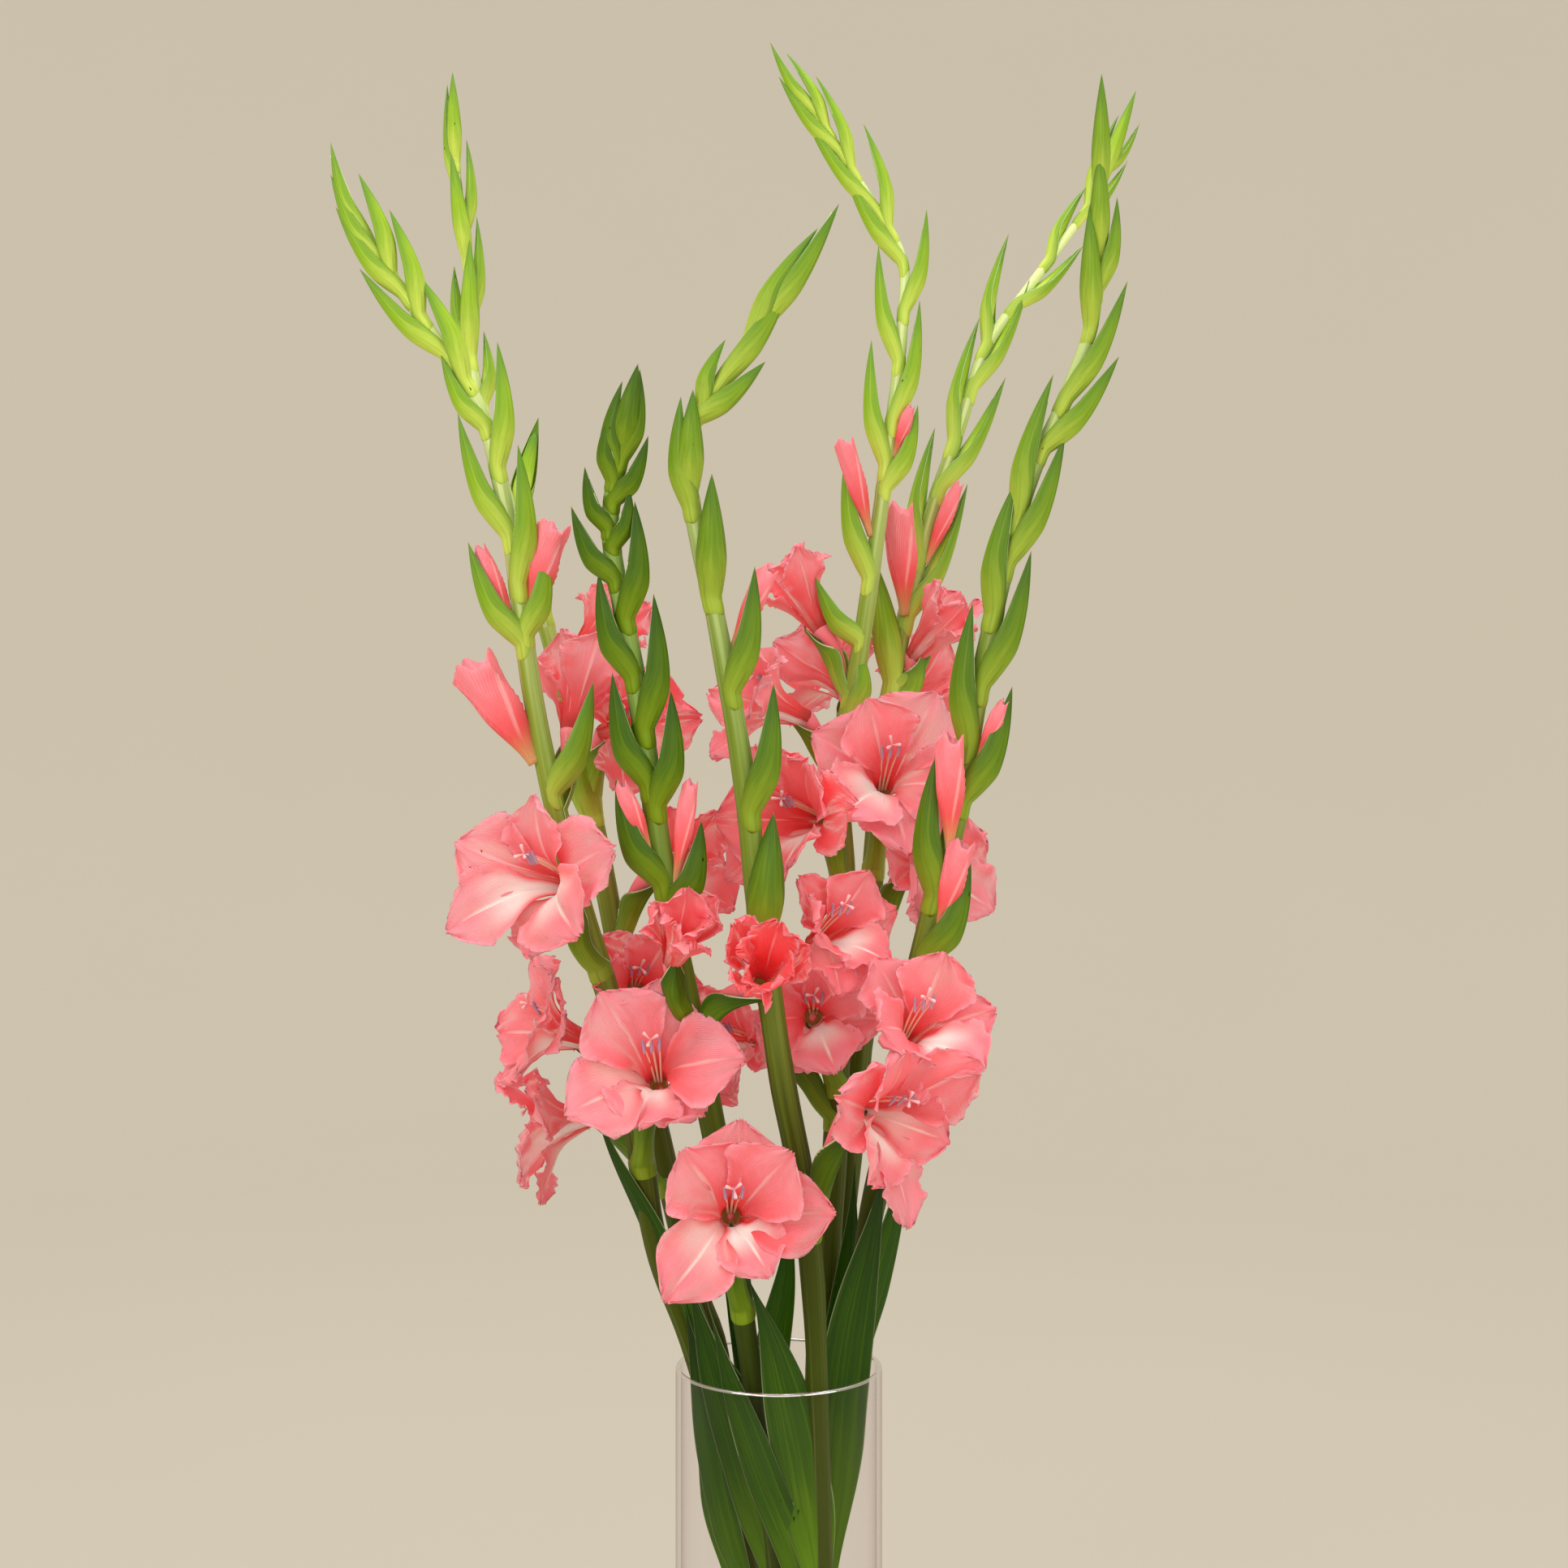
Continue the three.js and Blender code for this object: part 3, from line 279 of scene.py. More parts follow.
# Each petal of the florets in front: its lean in degrees, and its shares of the floret's length,
# opening and breadth.
PETAL_LOOKS = {
    "front": [
        [30, 0.95, 0.95, 1.2], [15, 1.05, 1.0, 1.05], [-5, 1.0, 0.9, 1.2],
        [-20, 1.12, 1.1, 1.0], [-20, 0.82, 0.95, 0.85], [-10, 1.2, 1.12, 0.95],
    ],
    "front_left": [
        [12, 1.05, 0.95, 1.2], [-5, 1.05, 0.85, 1.0], [18, 1.08, 1.1, 1.15],
        [0, 0.8, 1.0, 0.9], [0, 0.74, 1.0, 1.05], [-15, 1.12, 1.05, 1.1],
    ],
    "front_right": [
        [-5, 1.0, 0.9, 1.1], [5, 1.22, 0.9, 1.15], [5, 0.85, 0.9, 0.9],
        [12, 1.22, 1.1, 0.72], [-8, 0.95, 1.0, 0.9], [0, 1.05, 1.15, 1.05],
    ],
    "middle": [
        [-5, 0.98, 0.75, 1.1], [-12, 1.1, 0.95, 1.25], [5, 0.85, 0.9, 1.0],
        [8, 1.05, 1.05, 1.0], [0, 1.0, 0.95, 1.05], [12, 1.0, 1.05, 1.1],
    ],
    "left": [
        [0, 0.95, 1.0, 0.85], [10, 1.1, 1.25, 1.1], [5, 1.05, 1.15, 1.15],
        [-5, 0.9, 1.0, 0.9], [-5, 1.2, 1.05, 0.95], [-10, 1.12, 0.75, 1.2],
    ],
}


def placed(name, data):
    thing = bpy.data.objects.new(name, data)
    bpy.context.scene.collection.objects.link(thing)
    return thing


def mix(start, end, share):
    return start + (end - start) * share


def clamp(value):
    return min(1.0, max(0.0, value))


def smooth(low, high, value):
    """A smooth step from 0 at low to 1 at high."""
    share = clamp((value - low) / (high - low))
    return share * share * (3 - 2 * share)


def between_ends(v):
    """0 at either end of a closed skin, where it comes to a point, and 1 between them."""
    return 0 if v in (0, 1) else 1


def vary(seed):
    """The same uneven share from 0 to 1 for the same seed."""
    share = sin(seed * 127.1) * 43758.5453
    return share - floor(share)


def square(direction, axis):
    return (direction - axis * direction.dot(axis)).normalized()


def spread(depth):
    """How far apart things at a depth stand, to look as far apart as at depth 0."""
    return (depth - EYE.y) / -EYE.y


def level(height, depth):
    """The height of what is seen at a given height, at its depth."""
    return EYE.z + (height - EYE.z) * spread(depth)


def seen(place):
    """A point above the rim stands where the front view shows it, at its depth."""
    x, y, z = place
    if z <= VASE_HEIGHT:
        return Vector(place)
    return Vector((EYE.x + (x - EYE.x) * spread(y), y, level(z, y)))


class Route:
    """A smooth way through points, as a stem or a leaf runs."""

    def __init__(self, places):
        points = [seen(place) for place in places]
        ends = [points[0] * 2 - points[1], *points, points[-1] * 2 - points[-2]]
        self.line = []
        for corners in zip(ends, ends[1:], ends[2:], ends[3:]):
            self.line += self.stretch(*corners)
        self.line.append(points[-1])
        self.reach = [0.0]
        for start, end in zip(self.line, self.line[1:]):
            self.reach.append(self.reach[-1] + (end - start).length)

    @staticmethod
    def stretch(before, start, end, after):
        pairs = ((before, start), (start, end), (end, after))
        first, own, last = [max(1e-3, sqrt((b - a).length)) for a, b in pairs]
        leave = (start - before) / first - (end - before) / (first + own) + (end - start) / own
        arrive = (end - start) / own - (after - start) / (own + last) + (after - end) / last
        leave, arrive = leave * own, arrive * own
        bend = end * 3 - start * 3 - leave * 2 - arrive
        twist = start * 2 - end * 2 + leave + arrive
        shares = [step / ROUTE_STEPS for step in range(ROUTE_STEPS)]
        return [start + leave * t + bend * t * t + twist * t ** 3 for t in shares]

    def between(self, index, share):
        index = min(max(index, 0), len(self.line) - 2)
        start, end = self.line[index], self.line[index + 1]
        before = self.line[max(index - 1, 0)]
        after = self.line[min(index + 2, len(self.line) - 1)]
        direction = (end - before).lerp(after - start, share)
        return start.lerp(end, share), direction.normalized()

    def at(self, share):
        """The point and the direction at a share of the length."""
        wanted = share * self.reach[-1]
        low, high = 0, len(self.reach) - 1
        while high - low > 1:
            middle = (low + high) // 2
            low, high = (middle, high) if self.reach[middle] <= wanted else (low, middle)
        gap = self.reach[low + 1] - self.reach[low]
        return self.between(low, (wanted - self.reach[low]) / gap)

    def at_height(self, height):
        above = (i for i, point in enumerate(self.line[1:]) if point.z >= height)
        index = next(above, len(self.line) - 2)
        start, end = self.line[index], self.line[index + 1]
        return self.between(index, clamp((height - start.z) / (end.z - start.z)))

    def seen_at(self, height):
        """The point and the direction that the front view shows at a height."""
        return self.at_height(level(height, self.at_height(height)[0].y))


def stem_radius(height):
    """Thin at the foot, wide where leaf sheaths wrap it, and thin again towards the tip."""
    wrapped = mix(STEM_FOOT_RADIUS, STEM_WIDE_RADIUS, smooth(SWELL_FROM, SWELL_TO, height))
    return mix(wrapped, STEM_TIP_RADIUS, smooth(TAPER_FROM, TAPER_TO, height))


class Piece:
    """A mesh in the making, whose faces each take one of its finishes."""

    def __init__(self, name, finishes):
        self.name = name
        self.finishes = finishes
        self.mesh = bmesh.new()
        self.mesh.loops.layers.uv.new("UVMap")
        self.tone = self.mesh.verts.layers.float_color.new("tone")

    def skin(self, across, along, finish, place, tone=(0, 0, 0), closed=False, thickness=0):
        """A fine grid laid over a form: place(u, v) gives the point at u, from -1 to 1 across, and
        at v, from 0 to 1 along."""
        points = bmesh.ops.create_grid(
            self.mesh, x_segments=across, y_segments=along, size=1, calc_uvs=True,
        )["verts"]
        for point in points:
            u, v = point.co.x, (point.co.y + 1) / 2
            point[self.tone] = (*tone, 1)
            point.co = place(u, v) * MM
        faces = list({face for point in points for face in point.link_faces})
        for face in faces:
            face.material_index = self.finishes.index(finish)
            face.smooth = True
        if closed:
            bmesh.ops.remove_doubles(self.mesh, verts=points, dist=2e-6)
            faces = [face for face in faces if face.is_valid]
            bmesh.ops.recalc_face_normals(self.mesh, faces=faces)
        if thickness:
            bmesh.ops.solidify(self.mesh, geom=faces, thickness=thickness * MM)

    def done(self, node):
        mesh = bpy.data.meshes.new(self.name)
        self.mesh.to_mesh(mesh)
        self.mesh.free()
        for finish in self.finishes:
            mesh.materials.append(finish)
        thing = placed(self.name, mesh)
        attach(thing, "root")
        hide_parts(node)


class Value:
    """The number or colour that comes out of a node, on which plain sums can be written."""

    def __init__(self, finish, socket):
        self.finish = finish
        self.socket = socket

    def sum(self, operation, *others):
        values = {index: other for index, other in enumerate((self, *others))}
        return self.finish.add("Math", {"operation": operation}, values)

    def __add__(self, other):
        return self.sum("ADD", other)

    def __sub__(self, other):
        return self.sum("SUBTRACT", other)

    def __rsub__(self, other):
        return self.finish.add("Math", {"operation": "SUBTRACT"}, {0: other, 1: self})

    def __mul__(self, other):
        return self.sum("MULTIPLY", other)

    def __pow__(self, other):
        return self.sum("POWER", other)

    def size(self):
        return self.sum("ABSOLUTE")

    def sine(self):
        return self.sum("SINE")

    def between(self, low, high):
        """A smooth step from 0 at low to 1 at high."""
        settings = {"interpolation_type": "SMOOTHSTEP"}
        values = {"Value": self, "From Min": low, "From Max": high}
        return self.finish.add("MapRange", settings, values)


class Finish:
    """A finish in the making: its nodes, and the shader that ends it."""

    def __init__(self, name):
        self.material = bpy.data.materials.new(name)
        self.material.use_nodes = True
        self.tree = self.material.node_tree
        self.tree.nodes.clear()

    def add(self, kind, settings=None, values=None, out=None):
        node = self.tree.nodes.new("ShaderNode" + kind)
        for name, setting in (settings or {}).items():
            setattr(node, name, setting)
        for name, value in (values or {}).items():
            socket = node.inputs[name]
            if isinstance(value, Value):
                self.tree.links.new(value.socket, socket)
            else:
                socket.default_value = (*value, 1) if socket.type == "RGBA" else value
        shown = [socket for socket in node.outputs if socket.enabled]
        return Value(self, node.outputs[out] if out else shown[0])

    def blend(self, start, end, share):
        """A colour part of the way from one to the other."""
        values = {"Factor": share, 6: start, 7: end}
        return self.add("Mix", {"data_type": "RGBA"}, values)

    def place(self):
        """A skin's u, from -1 to 1 across, its v, from 0 to 1 along, and both as one vector."""
        flat = self.add("UVMap", {"uv_map": "UVMap"})
        parts = self.add("SeparateXYZ", None, {0: flat}, "X")
        node = parts.socket.node
        return parts * 2 - 1, Value(self, node.outputs["Y"]), flat

    def tones(self):
        tone = self.add("Attribute", {"attribute_name": "tone"}, None, "Color")
        node = self.add("SeparateColor", None, {0: tone}, "Red").socket.node
        return [Value(self, node.outputs[name]) for name in ("Red", "Green", "Blue")]

    def noise(self, scale, detail, where=None, stretch=(1, 1, 1)):
        if where is None:
            where = self.add("TexCoord", None, None, "Object")
        where = self.add("Mapping", None, {"Vector": where, "Scale": stretch})
        values = {"Vector": where, "Scale": scale, "Detail": detail}
        return self.add("TexNoise", None, values)

    def bump(self, height, strength, distance):
        values = {"Height": height, "Strength": strength, "Distance": distance}
        return self.add("Bump", None, values)

    def end(self, shader):
        output = self.tree.nodes.new("ShaderNodeOutputMaterial")
        self.tree.links.new(shader.socket, output.inputs["Surface"])
        return self.material


SALMON = (0.88, 0.145, 0.165)
PALE_SALMON = (0.94, 0.33, 0.39)
CORAL = (0.84, 0.045, 0.045)
PETAL_WHITE = (0.97, 0.82, 0.77)
THROAT_RED = (0.42, 0.03, 0.02)
THROAT_OLIVE = (0.26, 0.19, 0.03)
PALE_GREEN = (0.55, 0.56, 0.22)
SHEATH_EDGE = (0.66, 0.78, 0.42)
DRY_TIP = (0.36, 0.17, 0.09)


def petal_finish(name, foot, foot_end, foot_share):
    """Soft salmon petal skin. The tone gives chance, how white the blaze is and how deep the pink,
    partly painted shade; the faint glow is painted light, a stand-in for light that comes through
    a thin petal."""
    finish = Finish(name)
    u, v, flat = finish.place()
    chance, white, deep = finish.tones()
    side = u.size()
    cloudy = finish.noise(4, 3, flat, (1.2, 1, 1))
    vein = (u * (170 - v * 40) + cloudy * 9).sine() * 0.5 + 0.5
    paler = v.between(0.3, 0.95) * 0.7 + cloudy * 0.9 + chance * 0.3 - 0.6
    body = finish.blend(SALMON, PALE_SALMON, paler)
    # Deeper coral towards the throat and on florets with a deep tone: partly the petals' own colour,
    # partly painted shade in the throat's hollow and on the florets that sit behind.
    body = finish.blend(body, CORAL, deep * 0.75 + (1 - v.between(0.1, 0.62)) * 0.8)
    body = finish.blend(body, CORAL, vein ** 3 * 0.32 * (1 - v.between(0.8, 1.0)))
    body = finish.blend(body, PALE_SALMON, side.between(0.8, 1.0) * 0.6 * v.between(0.3, 0.6))
    rib = (1 - side.between(0.0, 0.07)) * v.between(0.2, 0.4) * (1 - v.between(0.68, 0.95))
    body = finish.blend(body, PETAL_WHITE, rib * (white * 0.45 + 0.3))
    blaze = (1 - v.between(0.4, 0.8)) * (1 - side.between(0.35, 1.05)) * white
    body = finish.blend(body, PETAL_WHITE, blaze)
    body = finish.blend(body, foot, (1 - v.between(0.03, foot_end)) * foot_share)
    crinkle = (v * 150 + cloudy * 14).sine() * side.between(0.75, 1.0) * 0.35
    fold = finish.noise(7, 2, flat, (1, 0.35, 1))
    height = vein * 0.34 + crinkle + fold * 1.8 - (1 - side.between(0.0, 0.05)) * 0.6
    normal = finish.bump(height, 0.5, 0.0009)
    # The faint emission in the petal's own colour is painted light: a glow that lifts the petal's shade
    # in place of light coming through it.
    shader = finish.add("BsdfPrincipled", {"subsurface_method": "RANDOM_WALK"}, {
        "Base Color": body, "Emission Color": body, "Emission Strength": 0.12,
        "Roughness": 0.55, "Subsurface Weight": 0.45,
        "Subsurface Radius": (1.0, 0.25, 0.24), "Subsurface Scale": 0.003,
        "Specular IOR Level": 0.18, "Normal": normal,
    })
    return finish.end(shader)


def green_finish(name, lit, shaded, lines, streaky, rise):
    """A waxy green with three colours from root to tip, mixed between lit and shaded copies as painted
    shade. The tone says how shaded it is, how much its sides are painted darker as shade and given
    a pale margin, and how dry its tip is."""
    finish = Finish(name)
    u, v, flat = finish.place()
    dark, edge, tip = finish.tones()
    cloudy = finish.noise(6, 4, flat, (1.6, 0.6, 1))
    streak = finish.noise(4, 3, flat, (4, 0.3, 1))
    side = u.size()
    low, mid, high = [finish.blend(*pair, dark) for pair in zip(lit, shaded)]
    share = v + cloudy * 0.36 - 0.18
    body = finish.blend(low, mid, share.between(rise[0], rise[1]))
    body = finish.blend(body, high, share.between(rise[2], rise[3]))
    # Painted shade: the sides of a sheath or leaf are made darker, as where they turn away from the
    # light.
    body = finish.blend(body, high, side.between(0.3, 0.95) * edge * 0.55)
    body = finish.blend(body, low, streak.between(0.5, 0.75) * 0.4 * streaky)
    body = finish.blend(body, high, (1 - streak.between(0.25, 0.5)) * 0.5 * streaky)
    line = (u * lines + cloudy * 3).sine() * 0.5 + 0.5
    body = finish.blend(body, low, line ** 4 * 0.06)
    body = finish.blend(body, SHEATH_EDGE, side.between(0.93, 0.99) * edge * 0.8)
    body = finish.blend(body, DRY_TIP, v.between(0.955, 1.0) * tip)
    normal = finish.bump(line * 0.14 + cloudy * 0.9, 0.4, 0.0005)
    shader = finish.add("BsdfPrincipled", {"subsurface_method": "RANDOM_WALK"}, {
        "Base Color": body, "Roughness": 0.46, "Subsurface Weight": 0.08,
        "Subsurface Radius": (0.6, 1.0, 0.2), "Subsurface Scale": 0.002,
        "Specular IOR Level": 0.16, "Normal": normal,
    })
    return finish.end(shader)


def soft_finish(name, root, tip, roughness):
    """The plain soft skin of a filament, an anther or a stigma."""
    finish = Finish(name)
    _, v, _ = finish.place()
    cloudy = finish.noise(900, 2)
    body = finish.blend(root, tip, v.between(0.1, 0.9) * 0.8 + cloudy * 0.2)
    shader = finish.add("BsdfPrincipled", None, {
        "Base Color": body, "Roughness": roughness, "Normal": finish.bump(cloudy, 0.3, 0.0002),
    })
    return finish.end(shader)


def clear_finish(name, face, side, least, most):
    """Clear glass or water: light goes straight through, and where it is seen edge on it has the
    side's tint and more shine."""
    finish = Finish(name)
    facing = finish.add("LayerWeight", None, {"Blend": 0.5}, "Facing")
    through = finish.add("MixShader", None, {
        0: facing ** 6,
        1: finish.add("BsdfTransparent", None, {"Color": face}),
        2: finish.add("BsdfTransparent", None, {"Color": side}),
    })
    shine = finish.add("BsdfGlossy", None, {"Roughness": 0.03, "Color": (1, 1, 1)})
    shiny = facing ** 4 * most + least
    whole = finish.add("MixShader", None, {0: shiny, 1: through, 2: shine})
    return finish.end(whole)


PETAL = petal_finish("petal", THROAT_RED, foot_end=0.2, foot_share=0.6)
THROAT = petal_finish("throat", THROAT_OLIVE, foot_end=1.2, foot_share=1.0)
TUBE = petal_finish("floret_tube", PALE_GREEN, foot_end=0.6, foot_share=0.75)
FURLED = petal_finish("furled_petal", PALE_GREEN, foot_end=0.4, foot_share=0.6)
GREEN = green_finish(
    "green",
    lit=((0.66, 0.82, 0.12), (0.30, 0.52, 0.02), (0.12, 0.29, 0.03)),
    shaded=((0.20, 0.31, 0.008), (0.07, 0.155, 0.003), (0.026, 0.08, 0.007)),
    lines=46, streaky=0.9, rise=(0.12, 0.6, 0.55, 1.0),
)
LEAF = green_finish(
    "leaf",
    lit=((0.12, 0.26, 0.002), (0.026, 0.082, 0.0008), (0.008, 0.030, 0.0003)),
    shaded=((0.045, 0.115, 0.001), (0.011, 0.038, 0.0004), (0.003, 0.012, 0.0001)),
    lines=90, streaky=1.0, rise=(0.1, 0.5, 0.5, 1.0),
)
STEM = green_finish(
    "stem",
    lit=((0.06, 0.08, 0.002), (0.26, 0.35, 0.04), (0.80, 0.92, 0.42)),
    shaded=((0.035, 0.055, 0.002), (0.10, 0.17, 0.012), (0.22, 0.36, 0.06)),
    lines=30, streaky=0.3, rise=(0.40, 0.62, 0.62, 0.92),
)
FILAMENT = soft_finish("filament", (0.92, 0.74, 0.50), (0.92, 0.60, 0.46), 0.5)
ANTHER = soft_finish("anther", (0.50, 0.34, 0.47), (0.36, 0.22, 0.36), 0.7)
STIGMA = soft_finish("stigma", (0.88, 0.36, 0.36), (0.92, 0.58, 0.60), 0.5)
GLASS = clear_finish("glass", (0.985, 0.975, 0.985), (0.62, 0.55, 0.57), least=0.004, most=0.3)
RIM = clear_finish("glass_rim", (0.80, 0.78, 0.78), (0.55, 0.53, 0.53), least=0.5, most=0.4)
WATER = clear_finish("water", (0.985, 0.99, 0.985), (0.88, 0.91, 0.89), least=0.004, most=0.25)


def ring_point(middle, out, across, angle, half, front, back):
    """A point of a section: angle 0 faces out, and a quarter turn either way faces across."""
    reach = front if cos(angle) > 0 else back
    return middle + out * (cos(angle) * reach) + across * (sin(angle) * half)


def round_point(middle, out, across, angle, radius):
    return ring_point(middle, out, across, angle, radius, radius, radius)


def stem_skin(piece, route, dark):
    def place(u, v):
        share = clamp((v - 0.01) / 0.98)
        middle, along = route.at(share)
        out = square(NEAR, along)
        pointed = mix(1, 0.5, smooth(STEM_POINT_FROM, 1, share))
        radius = stem_radius(middle.z) * pointed * between_ends(v)
        knot = 1 + 0.02 * sin(middle.z * 0.11)
        return round_point(middle, out, along.cross(out), u * pi, radius * knot)

    piece.skin(20, 120, STEM, place, (dark, 0, 0), closed=True)


def bract_skin(piece, route, root, stem_here, tip, keel, dark):
    """A keeled sheath: it wraps the stem below its root, opens on the side away from its keel, and
    runs out to its tip over the furled bud inside."""
    along = (tip - root).normalized()
    out = square(keel, along)
    across = along.cross(out)
    length = (tip - root).length
    size = min(1.0, 0.4 + 0.6 * length / BRACT_LENGTH)
    broad = (BRACT_HALF_WIDTH + BRACT_STEM_SHARE * stem_here) * size

    def narrow(s):
        return 1 - (max(0.0, s - 0.3) / 0.7) ** 1.6

    def middle_at(s):
        return root.lerp(tip, s) + out * (BRACT_BULGE * size * sin(pi * s))

    def clasp(v):
        lower = route.at_height(root.z - BRACT_CLASP * length * (1 - v / BRACT_CLASP))[0]
        around = stem_radius(lower.z)
        proud = mix(-0.8, 0.45, smooth(0, 0.05, v))
        middle = lower + keel * around * BRACT_ROOT_SINK
        return middle, around + proud, 0.7 * around + proud, 1.3 * around + proud

    def shell(u, v):
        if v < BRACT_CLASP:
            middle, half, front, back = clasp(v)
            return ring_point(middle, out, across, u * 3.1, half, front, back)
        s = (v - BRACT_CLASP) / (1 - BRACT_CLASP)
        opened = sin(min(1.0, s / 0.34) * pi / 2)
        keeled = 1 + 0.1 * exp(-(u / 0.1) ** 2) * smooth(0.05, 0.3, s)
        return ring_point(
            middle_at(s), out, across, u * mix(3.1, 1.65, smooth(0.0, 0.5, s)),
            mix(stem_here + 0.5, broad, opened) * narrow(s),
            mix(0.7 * stem_here + 0.5, broad * BRACT_KEEL * keeled, opened) * narrow(s),
            mix(1.3 * stem_here + 0.5, BRACT_BACK, smooth(0, 0.5, s)) * narrow(s),
        )

    def core(u, v):
        s = mix(0.1, 0.86, v)
        width = 0.76 * broad * narrow(s) * smooth(0, 0.3, s) * between_ends(v)
        return ring_point(
            middle_at(s), out, across, u * pi,
            width, width * BRACT_KEEL * 0.85, width * 0.3,
        )

    piece.skin(20, 30, GREEN, shell, (dark, 1.0, 0.6), thickness=BRACT_SKIN)
    piece.skin(12, 12, GREEN, core, (dark, 0, 0), closed=True)


def keel_of(side, turn):
    if side in "FB":
        return NEAR * (1 if side == "F" else -1)
    right = 1 if side == "R" else -1
    return Vector((right * cos(turn), -sin(turn), 0))


def stem_bract(piece, route, turn, dark, row):
    root_height, tip_x, tip_z, side = row
    depth = route.at_height(tip_z)[0].y
    at, _ = route.at_height(level(root_height, depth))
    keel = keel_of(side, turn)
    root = at + keel * stem_radius(at.z) * BRACT_ROOT_SINK
    tip = seen((tip_x, depth + keel.y * 6, tip_z))
    shade = min(1.0, dark + 0.4 * (1 - smooth(620, 860, at.z)))
    bract_skin(piece, route, root, stem_radius(at.z), tip, keel, shade)


def leaf_skin(piece, row, dark, seed):
    width, *places = row
    route = Route(places)

    def place(u, v):
        middle, along = route.at(v)
        broad = mix(0.3, 1, smooth(0, 0.35, v)) * (1 - smooth(0.45, 1.0, v) ** 1.6)
        out = square(Vector((middle.x / 90, -1, 0)), along)
        fold = 0.9 - 1.6 * abs(u) ** 1.3 * broad + 0.5 * sin(v * 9 + seed) * u
        return middle + along.cross(out) * (width / 2 * broad * u) + out * fold

    piece.skin(18, 60, LEAF, place, (dark, 0.3, 0.4), thickness=LEAF_SKIN)


def facing(turn_right, turn_up):
    """The frame of a floret: its axis, and its up and right as its own viewer sees them."""
    right, up = radians(turn_right), radians(turn_up)
    axis = Vector((sin(right) * cos(up), -cos(right) * cos(up), sin(up)))
    top = square(UP, axis)
    return axis, top, top.cross(axis)


class Floret:
    """An open flower: where its tube leaves the stem, its throat, and how its petals open."""

    def __init__(self, name, row, seed, routes):
        self.name = name
        spike, root_height, throat, turn_right, turn_up, roll, self.length, opening = row
        self.spike = spike
        self.throat = seen(throat)
        self.foot, self.along = routes[spike].at_height(root_height)
        flat = self.throat - self.foot
        self.out = square(Vector((flat.x, flat.y, 0)), self.along)
        off_axis = stem_radius(self.foot.z) + TUBE_OFF_STEM
        self.root = self.foot + self.out * off_axis + self.along * TUBE_RISE
        self.upward = (self.along + self.out * TUBE_LEAN).normalized()
        self.axis, self.top, self.side = facing(turn_right, turn_up)
        self.opening = PETAL_OPENING * opening
        self.wide = opening
        self.roll = radians(roll)
        self.seed = seed

    def spoke(self, angle):
        return self.top * cos(angle) + self.side * sin(angle)

    def ring(self, s):
        """The middle and the directions of the tube at s, from the stem to the petals."""
        knee = self.root + self.upward * ((self.throat - self.root).length * TUBE_KNEE)
        middle = self.root * (1 - s) ** 2 + knee * (2 * s * (1 - s)) + self.throat * s * s
        along = ((knee - self.root) * (1 - s) + (self.throat - knee) * s).normalized()
        if s > 0.999:
            along = self.axis
        out = square(self.top, along)
        return middle, along, out, out.cross(along)


def tube_radius(s):
    return mix(TUBE_ROOT_RADIUS, RING_RADIUS + 0.4, s * s)


def petal_line(s, length, opening):
    """The middle line of a petal: how far out and how far forward it is at s, and how steep."""
    out, forward = RING_RADIUS, 0

    def slope(share):
        flare = mix(THROAT_ANGLE, opening, smooth(0.12, 0.62, share))
        return flare + 0.35 * opening * smooth(0.6, 1, share)

    for part in range(PETAL_STEPS):
        angle = slope((part + 0.5) * s / PETAL_STEPS)
        out += sin(angle) * length * s / PETAL_STEPS
        forward += cos(angle) * length * s / PETAL_STEPS
    return out, forward, slope(s)


def petal_half_width(s, breadth, out):
    broad = breadth * smooth(-0.1, 0.66, s)
    falling = 1 if s < 0.58 else max(0.0, 1 - ((s - 0.58) / 0.425) ** 2.1) ** 0.7
    room = out * mix(0.64, 1.05, smooth(0.32, 0.5, s))
    return max(min(broad, room), 3.0 * (1 - s)) * falling


# How deep each floret's pink is: partly its own colour, partly painted shade on the florets that sit
# behind the others. The rest get a small chance depth.
DEEP_PINK_AND_PAINTED_SHADE = {
    "centre": 1.0, "short_half": 0.7, "centre_right": 0.4,
    "middle_left": 0.6, "back_left": 0.5, "back_low": 0.6,
    "behind_left": 0.6, "behind_centre": 0.6,
}


def whorl_of(number):
    """The petals take turns: -1 is the whorl in front, and 1 the one behind."""
    return -1 if number % 2 == 0 else 1


def petal_look(floret, number):
    """How a petal departs from its floret's rule: its lean, length, opening and breadth."""
    if floret.name in PETAL_LOOKS:
        return PETAL_LOOKS[floret.name][number]
    drawn = [vary(floret.seed * step + number) for step in (7, 3, 11, 5)]
    whorl = whorl_of(number)
    return [
        (drawn[0] - 0.5) * 26,
        mix(0.9, 1.1, drawn[1]),
        1 + 0.1 * whorl + (drawn[2] - 0.5) * 0.3,
        mix(0.92, 1.14, drawn[3]) - 0.06 * whorl,
    ]


